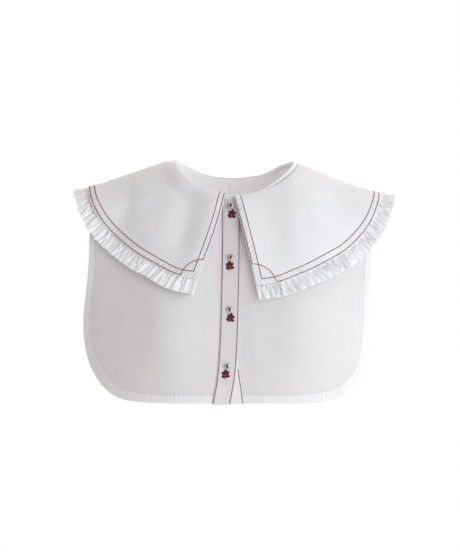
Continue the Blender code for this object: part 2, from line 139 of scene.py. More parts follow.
def curve_through(points):
    """A smooth curve through chart points, as a function of the share of its length."""
    points = np.asarray(points, float)
    lengths = lengths_along(points)
    across = spline_through(lengths, points[:, 0])
    along = spline_through(lengths, points[:, 1])
    return lambda share: np.stack([across(share * lengths[-1]), along(share * lengths[-1])], -1)


def soft_step(value):
    """0 below 0, 1 above 1, and a smooth rise between them."""
    value = np.clip(value, 0.0, 1.0)
    return value * value * (3 - 2 * value)


def bell(value):
    """1 at 0, with a smooth fall to nothing at about 2 on both sides."""
    return np.exp(-(value**2))


def round_angles(count):
    """Even angles once round a circle."""
    return np.linspace(0, 2 * math.pi, count, endpoint=False)


# %% [markdown]
# ## The figure under the cloth
# The cloth hangs from a shoulder line and follows two side views, one at the middle of the figure and
# one at its side, with a soft fullness on each side of the front. These are the same named values that
# the solids were made from, so the fine pieces land where the solids are.

# %% The figure's measures
SHOULDER_LINE = (  # x, height
    (-215, -47.0), (-180, -36.8), (-139, -23.0), (-73, -1.5), (0, 9.0),
    (80, -4.5), (141, -30.5), (178, -42.8), (215, -53.5),
)
FRONT_SECTION = (  # drop, reach at the middle, reach at the side
    (5, 20, 17), (15, 35, 28), (30, 47, 35), (60, 62, 39), (100, 77, 38),
    (150, 92, 35), (200, 102, 33), (260, 106, 32), (350, 107, 32),
)
BACK_SECTION = (
    (5, 18, 14), (15, 32, 24), (30, 44, 32), (60, 60, 36), (100, 76, 36),
    (150, 86, 34), (200, 89, 32), (260, 89, 31), (350, 88, 31),
)
FORM_HALF_WIDTH = 200.0
FORM_LIMIT = 1.1  # half widths from the middle, beyond which the side view holds
SIDE_POWER = 3.0
CHEST_X, CHEST_Z = 88.0, -225.0
CHEST_FULLNESS, CHEST_WIDTH, CHEST_HEIGHT = 12.0, 52.0, 85.0
CHEST_START_RUN = 98.0


def section_curves(column):
    """Forward reach and drop as functions of run, for one column of the side views."""
    back = [(-row[column], row[0]) for row in reversed(BACK_SECTION)]
    front = [(row[column], row[0]) for row in FRONT_SECTION]
    points = np.array([*back, (0, 0), *front], float)
    runs = lengths_along(points)
    runs -= runs[len(back)]
    return spline_through(runs, points[:, 0]), spline_through(runs, points[:, 1])


shoulder_height = spline_through(*zip(*SHOULDER_LINE))
MIDDLE_REACH, MIDDLE_DROP = section_curves(1)
SIDE_REACH, SIDE_DROP = section_curves(2)
print(f"shoulder line {shoulder_height(0.0):.1f} mm high in the middle")

# %% From the chart to space
LONGEST_RUN = 450.0  # from the shoulder line, further than any hem
HALVINGS = 40  # of a search that closes in on a height or a turn


def form(x, run):
    """Points of the chart's surface, in millimetres."""
    x, run = np.broadcast_arrays(np.asarray(x, float), np.asarray(run, float))
    side = np.minimum(np.abs(x) / FORM_HALF_WIDTH, FORM_LIMIT) ** SIDE_POWER
    reach = (1 - side) * MIDDLE_REACH(run) + side * SIDE_REACH(run)
    drop = (1 - side) * MIDDLE_DROP(run) + side * SIDE_DROP(run)
    z = shoulder_height(x) - drop
    chest = sum(bell((x - side_of * CHEST_X) / CHEST_WIDTH) for side_of in SIDES)
    chest = CHEST_FULLNESS * chest * bell((z - CHEST_Z) / CHEST_HEIGHT)
    return np.stack([x, -reach - chest * soft_step(run / CHEST_START_RUN), z], -1)


def outward_way(x, run):
    """Unit vectors that point out of the cloth."""
    step = 0.5
    across = form(x + step, run) - form(x - step, run)
    down = form(x, run + step) - form(x, run - step)
    way = np.cross(down, across)
    return way / np.linalg.norm(way, axis=-1, keepdims=True)


def cloth_at(x, run, lift):
    """Points of a layer that lies lift outside the chart, in metres."""
    x, run, lift = np.broadcast_arrays(*(np.asarray(a, float) for a in (x, run, lift)))
    return (form(x, run) + outward_way(x, run) * lift[..., None]) * MM


def run_at(x, z, face):
    """Run at which the cloth has come down to height z, on the front or the back."""
    x, z = np.broadcast_arrays(np.asarray(x, float), np.asarray(z, float))
    low, high = np.zeros(x.shape), np.full(x.shape, LONGEST_RUN)
    for _ in range(HALVINGS):
        middle = (low + high) / 2
        above = form(x, face * middle)[..., 2] > z
        low, high = np.where(above, middle, low), np.where(above, high, middle)
    return face * (low + high) / 2


def on_chart(points, face):
    """Chart points of a list of x and height."""
    points = np.asarray(points, float)
    return np.stack([points[:, 0], run_at(points[:, 0], points[:, 1], face)], -1)


print("chart at the middle of the hem:", form(0.0, run_at(0.0, -322.4, FRONT)).round(1))

# %% [markdown]
# ## The neck opening
# The opening is a closed line on the chart. A turn round it is measured in degrees from the wearer's
# left side of the neck, over the front to the right side and back behind, so the band, the panels and
# both collar halves can all start from it.

# %% The neck line
NECK_SIDE_X = {RIGHT: -73.3, LEFT: 79.8}
NECK_FRONT = (  # x, height
    (78.0, -10.5), (68.9, -20.0), (51.9, -32.9), (34.9, -41.5), (17.9, -46.5), (1.3, -48.0),
    (-20.9, -42.8), (-38.7, -36.5), (-51.2, -30.7), (-59.6, -25.0), (-65.3, -18.8), (-71.3, -9.5),
)
NECK_BACK = (
    (-64.0, -6.5), (-53.6, -11.8), (-37.3, -18.6), (-14.7, -22.9),
    (4.0, -23.7), (17.3, -22.8), (45.0, -17.3), (65.3, -8.2),
)
CENTRE_FRONT_X = -4.5
CENTRE_BACK_X = -5.0


def neck_curves():
    """x and run of the neck line by turn."""
    front = np.vstack([[NECK_SIDE_X[LEFT], 0.0], on_chart(NECK_FRONT, FRONT)])
    back = np.vstack([[NECK_SIDE_X[RIGHT], 0.0], on_chart(NECK_BACK, BACK)])
    loop = np.vstack([front, back, front[:1]])
    steps = np.linalg.norm(np.diff(loop, axis=0), axis=1)
    turns = [0.0]
    for part in (steps[: len(front)], steps[len(front) :]):
        turns.extend(turns[-1] + 180 * np.cumsum(part) / part.sum())
    turns = np.array(turns)
    over = 4
    stations = np.concatenate((turns[-over - 1 : -1] - 360, turns, turns[1 : over + 1] + 360))
    values = np.concatenate((loop[-over - 1 : -1], loop, loop[1 : over + 1]))
    return spline_through(stations, values[:, 0]), spline_through(stations, values[:, 1])


NECK_X, NECK_RUN = neck_curves()


def neck_point(turn, away):
    """Chart points beside the neck line, away millimetres outside it."""
    turn = np.asarray(turn, float) % 360.0
    across = NECK_X(turn + 0.5) - NECK_X(turn - 0.5)
    along = NECK_RUN(turn + 0.5) - NECK_RUN(turn - 0.5)
    length = np.hypot(across, along)
    out = NECK_X(turn) + away * along / length, NECK_RUN(turn) - away * across / length
    return np.stack(out, -1)


def neck_turn_at(x, away, face=FRONT):
    """Turn at which the neck line stands at this x."""
    low, high = (0.0, 180.0) if face == FRONT else (360.0, 180.0)
    for _ in range(HALVINGS):
        middle = (low + high) / 2
        if neck_point(middle, away)[0] > x:
            low = middle
        else:
            high = middle
    return (low + high) / 2


neck_loop = cloth_at(*neck_point(np.linspace(0, 360, 400), 0.0).T, 0.0)
NECK_LENGTH = float(lengths_along(neck_loop)[-1]) / MM
print(f"neck opening {NECK_LENGTH:.0f} mm round")

# %% [markdown]
# ## Colours and nodes
# Colours are read off the real thing as sRGB, which is what a screen shows, and a shader wants them
# linear. One small function turns them, and one more adds a node with its settings and links.

# %% Colour and node helpers
MIX_A, MIX_B, MIX_RESULT = 6, 7, 2  # the colour sockets of Blender's mix node


def from_hex(code):
    """The linear colour of an sRGB hex value."""
    channels = [int(code[i : i + 2], 16) / 255 for i in (1, 3, 5)]
    linear = [c / 12.92 if c <= 0.04045 else ((c + 0.055) / 1.055) ** 2.4 for c in channels]
    return (*linear, 1.0)


def add(tree, kind, links=None, values=None, **settings):
    """A node with its settings, the sockets that other nodes feed, and the values of the rest."""
    node = tree.nodes.new(kind)
    for name, value in settings.items():
        setattr(node, name, value)
    for socket, value in (values or {}).items():
        node.inputs[socket].default_value = value
    for socket, source in (links or {}).items():
        tree.links.new(source, node.inputs[socket])
    return node


def principled(name, **values):
    """A new material and its Principled shader, with the constants set on the shader's sockets."""
    material = bpy.data.materials.new(name)
    material.use_nodes = True
    shader = material.node_tree.nodes["Principled BSDF"]
    for socket, value in values.items():
        shader.inputs[socket.replace("_", " ")].default_value = value
    return material, shader


# %% [markdown]
# ## Cotton poplin
# Poplin is a close plain weave of fine combed cotton, bleached white and pressed. To the eye it is
# matt and even, with a faint cross grain, a few thicker yarns, and a soft bloom of loose fibre where
# it turns away. The real yarns lie about 0.25 mm apart, which is a fifth of a pixel here, so the weave
# is drawn at 0.9 mm. The slubs are noise stretched along each yarn direction. Both follow the chart
# through the UV map, so the grain runs as the pieces were cut. The same cloth is given three whites. A
# single layer lets some light through and looks greyest. The collar, the band, the under placket, the
# turned hems and the top of the back inside the neck are drawn whiter: partly the real whiteness of
# cloth in more layers, partly painted light that brightens the inside of the neck. The frill is drawn
# whitest, as painted light that stands in for the light its close gathers catch on every fold. A little
# scattering inside the cloth softens its folds, and the frill gets least of it, because its creases
# have to stay crisp.

# %% The poplin material
WEAVE_PITCH = 0.9  # millimetres, drawn coarser than the real 0.25
UV_METRE = 1.0  # one UV unit is a metre of cloth
GLOW_DEPTH = 1.2  # how far light goes into the cloth, in millimetres
WAVE_BANDS_A_UNIT = 20 / (2 * math.pi)  # Blender's wave texture at scale 1
SLUBS_ALONG, SLUBS_ACROSS = 70.0, 1400.0  # a metre: each about 14 mm long and 0.7 mm wide
SLUB_DEPTH = 0.12  # millimetres, a little proud of the real yarn so that it shows
CLOUDS_A_METRE = 38.0


def woven_cotton(name, light, shade, weave_depth, glow):
    """Plain-woven cotton between two whites, on the cloth's own UV map."""
    material, shader = principled(
        name, Roughness=0.82, IOR=1.5, Specular_IOR_Level=0.3, Sheen_Weight=0.12, Sheen_Roughness=0.5,
        Subsurface_Weight=glow, Subsurface_Radius=(1.0, 0.95, 0.92), Subsurface_Scale=GLOW_DEPTH * MM,
    )
    tree = material.node_tree
    place = add(tree, "ShaderNodeTexCoord").outputs["UV"]
    scale = UV_METRE / (WEAVE_PITCH * MM) / WAVE_BANDS_A_UNIT
    warp, weft = (
        add(
            tree, "ShaderNodeTexWave", {"Vector": place}, {"Scale": scale, "Distortion": 0.6},
            bands_direction=axis,
        ).outputs["Fac"]
        for axis in ("X", "Y")
    )
    weave = add(tree, "ShaderNodeMath", {0: warp, 1: weft}, operation="MULTIPLY").outputs[0]
    slubs = []
    for stretch in ((SLUBS_ACROSS, SLUBS_ALONG, 1.0), (SLUBS_ALONG, SLUBS_ACROSS, 1.0)):
        along = add(tree, "ShaderNodeMapping", {"Vector": place}, {"Scale": stretch})
        slub = add(
            tree, "ShaderNodeTexNoise", {"Vector": along.outputs[0]}, {"Scale": 1.0, "Detail": 2.0}
        )
        slubs.append(slub.outputs["Fac"])
    slub = add(tree, "ShaderNodeMath", {0: slubs[0], 1: slubs[1]}, operation="ADD").outputs[0]
    cloudy = add(
        tree, "ShaderNodeTexNoise", {"Vector": place}, {"Scale": CLOUDS_A_METRE, "Detail": 3.0}
    ).outputs["Fac"]
    tone = add(tree, "ShaderNodeMath", {0: slub, 1: cloudy}, operation="ADD").outputs[0]
    tone = add(
        tree, "ShaderNodeMapRange", {"Value": tone}, {"From Min": 1.1, "From Max": 1.9}
    ).outputs["Result"]
    colour = add(
        tree, "ShaderNodeMix", {0: tone}, {MIX_A: from_hex(shade), MIX_B: from_hex(light)},
        data_type="RGBA",
    )
    tree.links.new(colour.outputs[MIX_RESULT], shader.inputs["Base Color"])
    slub_bump = add(
        tree, "ShaderNodeBump", {"Height": slub}, {"Strength": 0.35, "Distance": SLUB_DEPTH * MM}
    )
    weave_bump = add(
        tree, "ShaderNodeBump", {"Height": weave, "Normal": slub_bump.outputs[0]},
        {"Strength": 0.5, "Distance": weave_depth * MM},
    )
    tree.links.new(weave_bump.outputs[0], shader.inputs["Normal"])
    return material


POPLIN = woven_cotton("cotton_poplin_single", "#E4E2E2", "#DEDCDB", 0.07, 0.4)
# whiter than one layer: partly the real whiteness of doubled cloth, partly painted light
POPLIN_DOUBLE_AND_PAINTED_LIGHT = woven_cotton("cotton_poplin_double", "#F1F0F0", "#EBEAE9", 0.06, 0.25)
# painted light: drawn whitest to stand in for the light that the gathers catch on every fold
POPLIN_GATHERED_PAINTED_LIGHT = woven_cotton("cotton_poplin_gathered", "#FBFBFB", "#F5F5F5", 0.06, 0.05)
print("poplin:", POPLIN.name, POPLIN_DOUBLE_AND_PAINTED_LIGHT.name, POPLIN_GATHERED_PAINTED_LIGHT.name)

# %% [markdown]
# ## Thread and shell
# The top-stitching is a wine-red polyester thread with a soft lustre, two strands twisted together, so
# stripes of light run across it at a slant; these are painted light and shade, a lighter and a darker
# tone of the thread that alternate along the twist, over a small bump. The sprigs, and the bars that
# hold the buttons, are rayon floss in a darker wine red. The hems are sewn in white polyester. The
# buttons are mother-of-pearl, turned and polished: smooth, hard and pale grey, with faint pink and green
# clouds and growth lines. A clear coat over the clouds gives the polish.

# %% Thread and shell materials
THREAD_TWIST = 1.1  # millimetres from strand to strand; the real 0.5 would not show
STRAND_DEPTH = 0.1
SHELL_CLOUDS, SHELL_LINES = 260.0, 150.0  # texture scales: clouds about 4 mm across, finer growth lines


def sewing_thread(name, light, shade):
    """Twisted thread: slanted stripes of painted light and shade along the UV map of each stitch."""
    material, shader = principled(name, Roughness=0.5, IOR=1.53, Specular_IOR_Level=0.3)
    tree = material.node_tree
    place = add(tree, "ShaderNodeTexCoord").outputs["UV"]
    scale = 1 / (THREAD_TWIST * MM) / WAVE_BANDS_A_UNIT
    strands = add(
        tree, "ShaderNodeTexWave", {"Vector": place}, {"Scale": scale}, bands_direction="DIAGONAL"
    ).outputs["Fac"]
    # painted light and shade: the lighter and the darker tone alternate along the twist
    colour = add(
        tree, "ShaderNodeMix", {0: strands}, {MIX_A: from_hex(shade), MIX_B: from_hex(light)},
        data_type="RGBA",
    )
    tree.links.new(colour.outputs[MIX_RESULT], shader.inputs["Base Color"])
    bump = add(
        tree, "ShaderNodeBump", {"Height": strands}, {"Strength": 0.6, "Distance": STRAND_DEPTH * MM}
    )
    tree.links.new(bump.outputs[0], shader.inputs["Normal"])
    return material


def mother_of_pearl(name):
    """Polished shell with clouded growth lines."""
    material, shader = principled(
        name, Roughness=0.2, IOR=1.66, Specular_IOR_Level=1.0,
        Coat_Weight=1.0, Coat_IOR=1.6, Coat_Roughness=0.08,
    )
    tree = material.node_tree
    place = add(tree, "ShaderNodeTexCoord").outputs["Object"]
    clouds = add(
        tree, "ShaderNodeTexNoise", {"Vector": place}, {"Scale": SHELL_CLOUDS, "Detail": 3.0}
    ).outputs["Fac"]
    lines = add(
        tree, "ShaderNodeTexWave", {"Vector": place},
        {"Scale": SHELL_LINES, "Distortion": 6.0, "Detail": 2.0}, bands_direction="Z",
    ).outputs["Fac"]
    ramp = add(tree, "ShaderNodeValToRGB", {"Fac": clouds})
    ramp.color_ramp.elements[0].color = from_hex("#ABA19D")
    ramp.color_ramp.elements[1].color = from_hex("#ACB0AA")
    ramp.color_ramp.elements[0].position = 0.3
    ramp.color_ramp.elements[1].position = 0.7
    ramp.color_ramp.elements.new(0.5).color = from_hex("#BDB8B2")
    shine = add(
        tree, "ShaderNodeMapRange", {"Value": lines}, {"To Min": 0.14, "To Max": 0.3}
    ).outputs["Result"]
    tree.links.new(ramp.outputs["Color"], shader.inputs["Base Color"])
    tree.links.new(shine, shader.inputs["Roughness"])
    return material


WINE_THREAD = sewing_thread("polyester_thread_wine", "#98142E", "#6E0A20")
WINE_FLOSS = sewing_thread("rayon_floss_wine", "#80162A", "#560C1A")
WHITE_THREAD = sewing_thread("polyester_thread_white", "#F2F0F0", "#D8D5D6")
SHELL = mother_of_pearl("mother_of_pearl_button")
print("thread and shell:", WINE_THREAD.name, WINE_FLOSS.name, WHITE_THREAD.name, SHELL.name)

# %% [markdown]
# ## One way to lay a cloth
# Each piece of cloth is a fine grid on the chart, lifted off it by its layer, its folds and its small
# puckers, and then given two faces and a rim so that it is a thin closed shell. Doing this in mesh code
# instead of with a Solidify modifier lets a turned hem be thicker than the cloth beside it.

# %% Cloth from a grid
CLOTH = 0.5  # thickness of one layer of poplin as drawn; the real cloth is 0.25 mm
UV_START = (0.26, 0.46)  # keeps every UV above zero


def grid_faces(rows, columns, start=0):
    """Quads of a grid whose first point has the number start."""
    corner = start + np.arange(rows * columns).reshape(rows, columns)
    quads = [corner[:-1, :-1], corner[1:, :-1], corner[1:, 1:], corner[:-1, 1:]]
    return np.stack(quads, -1).reshape(-1, 4)


def rim_faces(rows, columns):
    """Quads that join the two faces of a shell along the edge of its grid."""
    corner = np.arange(rows * columns).reshape(rows, columns)
    loop = np.concatenate((corner[0, :-1], corner[:-1, -1], corner[-1, :0:-1], corner[:0:-1, 0]))
    after = np.roll(loop, -1)
    below = rows * columns
    return np.stack([loop, after, after + below, loop + below], -1)


def swept_walls(corner):
    """Quads round a swept tube, from its point numbers by ring and by place on the ring."""
    after = np.roll(corner, -1, axis=-1)
    quads = [corner[..., :-1, :], after[..., :-1, :], after[..., 1:, :], corner[..., 1:, :]]
    return np.stack(quads, -1).reshape(-1, 4)


def new_piece(name, points, faces, materials, uv=None):
    """A smooth mesh object from points, lists of corner numbers, and one UV place for each point."""
    mesh = bpy.data.meshes.new(name)
    mesh.from_pydata(np.asarray(points).tolist(), [], faces)
    if uv is not None:
        corners = [corner for face in faces for corner in face]
        mesh.uv_layers.new(name="cloth").data.foreach_set("uv", uv[corners].reshape(-1))
    for material in materials:
        mesh.materials.append(material)
    mesh.shade_smooth()
    piece = bpy.data.objects.new(name, mesh)
    bpy.context.scene.collection.objects.link(piece)
    return piece


def lay_cloth(name, x, run, lift, thickness, materials, doubled=None, uv=None):
    """A closed shell over a grid of chart points. doubled marks the points drawn in the whiter second
    cloth: a turned hem, and the painted light at the top of the back.
    """
    middle = cloth_at(x, run, lift)
    rows, columns = x.shape
    slant = np.cross(np.gradient(middle, axis=1), np.gradient(middle, axis=0))
    slant /= np.linalg.norm(slant, axis=-1, keepdims=True) + 1e-12
    flip = np.sign((slant * outward_way(x, run)).sum(-1).mean())
    slant *= flip
    half = (np.broadcast_to(thickness, x.shape) / 2 * MM)[..., None]
    outer, inner = middle + slant * half, middle - slant * half
    points = np.concatenate((outer.reshape(-1, 3), inner.reshape(-1, 3)))
    top = grid_faces(rows, columns)
    bottom = grid_faces(rows, columns, rows * columns)[:, ::-1]
    faces = np.concatenate((top, bottom, rim_faces(rows, columns)))
    if flip > 0:
        faces = faces[:, ::-1]
    if uv is None:
        uv = np.stack([x, run], -1) * MM + UV_START
    uv = np.concatenate((uv.reshape(-1, 2),) * 2)
    piece = new_piece(name, points, faces.tolist(), materials, uv)
    if doubled is not None:
        marks = np.concatenate((doubled.reshape(-1),) * 2)
        turned_in = marks[faces].mean(1) > 0.5
        piece.data.polygons.foreach_set("material_index", turned_in.astype(np.int32))
    area = np.linalg.norm(
        np.cross(np.diff(middle, axis=1)[:-1], np.diff(middle, axis=0)[:, :-1]), axis=-1
    ).sum()
    print(f"{name}: {2 * len(faces)} triangles, {area * 1e4:.0f} square cm of cloth")
    return piece


# %% [markdown]
# ## Folds, creases and puckers
# Pressed poplin over a figure shows broad soft folds, a crease here and there, and small puckers where
# a seam draws the cloth in. A fold is a bell across a line and fades at its ends. Puckers are a wave
# along the seam whose spacing and depth wander, from a seeded table, so each run gives the same cloth.

# %% Fold and pucker helpers
CREASE_FADE = 0.35  # share of a fold's length over which it dies out at each end
TABLE_SIZE = 512  # of the seeded noise
BATCH = 4000  # points measured at a time, which keeps the memory small


def crease(x, run, start, end, width, height):
    """A soft ridge, or trough below zero, along a line on the chart."""
    start, end = np.array(start, float), np.array(end, float)
    along = end - start
    length = np.linalg.norm(along)
    along /= length
    from_start = np.stack([x - start[0], run - start[1]], -1)
    distance = from_start @ along
    aside = from_start @ np.array([-along[1], along[0]])
    fade = CREASE_FADE * length
    ends = soft_step(distance / fade) * soft_step((length - distance) / fade)
    widths = np.broadcast_to(width, 2)  # towards the wearer's right, and towards the left
    return height * bell(aside / np.where(aside * along[1] > 0, *widths)) * ends


def wander(s, spacing, seed):
    """Smooth seeded noise from -1 to 1 along a length."""
    table = np.random.default_rng(seed).uniform(-1, 1, TABLE_SIZE)
    place = np.asarray(s, float) / spacing
    i = np.floor(place).astype(int)
    part = soft_step(place - i)
    return table[i % TABLE_SIZE] * (1 - part) + table[(i + 1) % TABLE_SIZE] * part


def puckers(s, pitch, seed):
    """An uneven wave along a seam, from -1 to 1."""
    phase = s / pitch + 0.55 * wander(s, 4.1 * pitch, seed)
    return (0.6 + 0.4 * wander(s, 2.3 * pitch, seed + 1)) * np.cos(2 * math.pi * phase)


FIGURE_HOLLOWS = {  # start and end as x and height, width, height: where every layer sinks or swells
    RIGHT: (((-120.0, -22.0), (-138.0, -122.0), (32.0, 44.0), -3.0),),
    LEFT: (((136.0, -120.0), (140.0, -330.0), 38.0, 5.0),),
}


def figure_lift(side, face, x, run):
    """The broad hollows and swells that panel, collar and frill share."""
    return sum(
        crease(x, run, *on_chart([start, end], face), width, height)
        for start, end, width, height in FIGURE_HOLLOWS[side]
    )


def beside(line, x, run):
    """Distance of each chart point from a line of chart points, and the nearest place along it."""
    along = lengths_along(line)
    points = np.stack([x.reshape(-1), run.reshape(-1)], -1)
    distance, place = np.empty(len(points)), np.empty(len(points))
    for start in range(0, len(points), BATCH):
        part = points[start : start + BATCH]
        gaps = np.hypot(part[:, None, 0] - line[None, :, 0], part[:, None, 1] - line[None, :, 1])
        nearest = gaps.argmin(1)
        distance[start : start + BATCH] = gaps[np.arange(len(part)), nearest]
        place[start : start + BATCH] = along[nearest]
    return distance.reshape(x.shape), place.reshape(x.shape)


# %% [markdown]
# ## The bib's panels
# Two fronts and two backs are cut from a single layer, with a shoulder seam, a seam down the middle of
# the back, and a narrow hem turned to the inside and sewn in white. Each lies on a patch between its
# four edges. The patch is bent round the neck at the top and round the hem's rounded corner below.

# %% Panel edges
BAND_WIDTH = 6.2
TUCK = 3.0  # how far a panel goes on under the band or the placket that covers its edge
PLACKET_WIDTH = 25.2
PLACKET_LINE = (  # height, x of its middle
    (-45, -1.8), (-106, -1.5), (-186, -2.7), (-230, -4.0), (-261, -5.5),
    (-287, -7.8), (-302, -10.0), (-314, -12.4), (-325, -14.4),
)
UNDER_SEAM_LINE = (  # height, x
    (-45, 6.5), (-150, 6.5), (-230, 7.0), (-280, 10.0), (-300, 13.1), (-322, 15.8),
)
SHOULDER_SEAM_END = 158.0
FRONT_HEM_Z, BACK_HEM_Z = -322.4, -318.0
PANEL_TOP_Z = {FRONT: -46.0, BACK: -24.0}  # height at which a panel's inner edge starts
FRONT_SIDE_EDGE = {  # x, height
    RIGHT: (
        (-180.0, -60), (-188.0, -92), (-189.6, -125), (-192.0, -160),
        (-196.0, -195), (-197.0, -225), (-194.2, -250), (-186.8, -275),
    ),
    LEFT: (
        (180.0, -60), (185.5, -95), (185.3, -125), (181.7, -171),
        (179.8, -215), (178.5, -245), (176.3, -265), (172.8, -280),
    ),
}
FRONT_HEM_EDGE = {
    RIGHT: ((-173.5, -297.5), (-155.3, -312.6), (-138, -318.5), (-112, -321.0), (-71.5, -322.2)),
    LEFT: ((163.0, -298.2), (144.0, -312.6), (125.3, -319.0), (100.8, -321.8), (60.0, -322.2)),
}
BACK_SIDE_EDGE = (
    (168.0, -60), (172.0, -110), (173.5, -150), (174.5, -190),
    (174.5, -220), (172.0, -250), (165.0, -277),
)
BACK_HEM_EDGE = ((154.0, -294.0), (136.0, -308.0), (114.0, -315.0), (85.0, -317.6), (50.0, -318.0))

placket_middle = spline_through([-z for z, _ in PLACKET_LINE], [x for _, x in PLACKET_LINE])
under_seam = spline_through([-z for z, _ in UNDER_SEAM_LINE], [x for _, x in UNDER_SEAM_LINE])


def placket_x(z, share):
    """x across the top placket: share 0 at its right edge, 1 at its left."""
    return placket_middle(-z) + (share - 0.5) * PLACKET_WIDTH


# %% The patch between a panel's edges
NECK_SHARE = 10 / 17  # share of a panel's top that lies along the neck
SIDE_HEM, FOOT_HEM = 7.4, 10.4
FOOT_SHARE = 0.52  # share of the hemmed edge at which the foot begins


def stretches(shares, counts):
    """Stations from 0 to 1 in stretches that end at the given shares, with a count of cells in each."""
    marks = [0.0, *shares, 1.0]
    parts = [np.linspace(a, b, n, endpoint=False) for a, b, n in zip(marks, marks[1:], counts)]
    return np.concatenate((*parts, [1.0]))


def panel_patch(side, face, inner_x, side_edge, hem_edge, hem_z, start_away):
    """Chart points of a panel from u across it and v down it, and the line of its hemmed edge."""
    start_turn = neck_turn_at(inner_x(PANEL_TOP_Z[face]), start_away, face)
    end_turn = 180.0 if side == RIGHT else (0.0 if face == FRONT else 360.0)
    shoulder_x = neck_point(end_turn, start_away)[0]

    def top(u):
        along_neck = neck_point(start_turn + (end_turn - start_turn) * u / NECK_SHARE, start_away)
        along_neck[..., 1] = face * np.maximum(face * along_neck[..., 1], 0.0)
        share = (u - NECK_SHARE) / (1 - NECK_SHARE)
        seam = shoulder_x + share * (side * SHOULDER_SEAM_END - shoulder_x)
        along_seam = np.stack([seam, 0.0 * seam], -1)
        return np.where((u < NECK_SHARE)[..., None], along_neck, along_seam)

    foot = on_chart([(inner_x(hem_z), hem_z), *reversed(hem_edge)], face)
    bottom = curve_through(foot)
    outer = curve_through(
        np.vstack([[side * SHOULDER_SEAM_END, 0.0], on_chart(side_edge, face), foot[-1:]])
    )
    top_run, foot_run = top(np.zeros(1))[0, 1], foot[0, 1]

    def inner(v):
        run = top_run + v * (foot_run - top_run)
        x = inner_x(PANEL_TOP_Z[face]) + 0.0 * v
        for _ in range(4):
            x = inner_x(form(x, run)[..., 2])
        return np.stack([x, run], -1)

    def place(u, v):
        edges = {0: top, 1: bottom}
        corners = {(a, b): edges[b](np.array(float(a))) for a in (0, 1) for b in (0, 1)}
        w, t = u[..., None], v[..., None]
        across = (1 - t) * top(u) + t * bottom(u)
        along = (1 - w) * inner(v) + w * outer(v)
        flat = (
            (1 - w) * (1 - t) * corners[0, 0] + w * (1 - t) * corners[1, 0]
            + (1 - w) * t * corners[0, 1] + w * t * corners[1, 1]
        )
        return across + along - flat

    shares = np.linspace(0, 1, 420)
    hemmed = np.concatenate((outer(shares), bottom(shares[::-1])[1:]))
    return place, hemmed


# %% Panel folds
UNDER_LIFT = -1.5  # the wearer's left front lies under the right one
UNDER_FADE = 25.0  # from the under placket's seam to where it has come up again
HEM_PUCKER, HEM_PUCKER_PITCH = 0.45, 5.6
PANEL_FOLDS = {  # start and end as x and height, width, height of the fold
    (RIGHT, FRONT): (
        ((-21.6, -298.0), (-36.5, -323.5), 1.6, -0.8),
        ((-24.5, -296.0), (-41.0, -323.5), 2.6, 0.55),
        ((-128.0, -150.0), (-118.0, -300.0), 17.0, -1.1),
        ((-92.0, -140.0), (-98.0, -270.0), 15.0, 0.7),
        ((-168.0, -130.0), (-176.0, -290.0), 9.0, 0.8),
        ((-55.0, -165.0), (-46.0, -290.0), 12.0, 0.5),
        ((-150.0, -128.0), (-138.0, -190.0), 6.0, -0.5),
    ),
    (LEFT, FRONT): (
        ((48.0, -178.0), (60.0, -300.0), 14.0, -0.9),
        ((92.0, -165.0), (84.0, -290.0), 15.0, 0.6),
        ((128.0, -150.0), (136.0, -300.0), 13.0, -0.7),
        ((160.0, -130.0), (164.0, -280.0), 9.0, 0.7),
        ((30.0, -285.0), (44.0, -321.0), 3.0, 0.4),
    ),
    (RIGHT, BACK): (
        ((-120.0, -140.0), (-112.0, -290.0), 16.0, -1.2),
        ((-70.0, -150.0), (-78.0, -285.0), 14.0, 0.9),
        ((-30.0, -160.0), (-24.0, -300.0), 11.0, -0.7),
        ((-152.0, -120.0), (-158.0, -270.0), 9.0, 0.8),
    ),
    (LEFT, BACK): (
        ((36.0, -150.0), (28.0, -295.0), 12.0, 0.8),
        ((78.0, -145.0), (88.0, -300.0), 15.0, -1.1),
        ((124.0, -135.0), (118.0, -280.0), 14.0, 0.9),
        ((154.0, -125.0), (160.0, -260.0), 8.0, -0.6),
    ),
}


def hem_width(place, length):
    """Width of the turned hem along the edge: narrow at the side, wider along the foot."""
    return SIDE_HEM + (FOOT_HEM - SIDE_HEM) * soft_step((place / length - FOOT_SHARE + 0.1) / 0.2)


def hem_relief(hemmed, x, run, seed):
    """Lift and thickness that a turned hem adds, and the mask of its doubled cloth."""
    distance, place = beside(hemmed, x, run)
    width = hem_width(place, lengths_along(hemmed)[-1])
    doubled = distance < width
    step = soft_step((width - distance + 0.6) / 1.2)
    slanted = place + 0.5 * distance
    across = np.sin(math.pi * np.clip(distance / (width + 5), 0, 1))
    ripple = HEM_PUCKER * puckers(slanted, HEM_PUCKER_PITCH, seed) * across
    lift = 0.2 * step - 0.4 * bell((distance - width) / 0.8) + ripple
    return lift, CLOTH * (1 + 0.9 * step), doubled


# %% [markdown]
# ## Sewing
# A line of machine stitches is a row of short threads that come up through the cloth, lie on it and go
# down again. Each stitch is a small twisted tube. It is laid on the finished cloth by casting a ray on
# to it, so it follows every pucker, and its ends are sunk so that the row looks pulled tight.

# %% Stitch helpers
TUBE_SIDES = 6
TAPER = 0.6  # width of a thread at its ends, where it goes down into the cloth


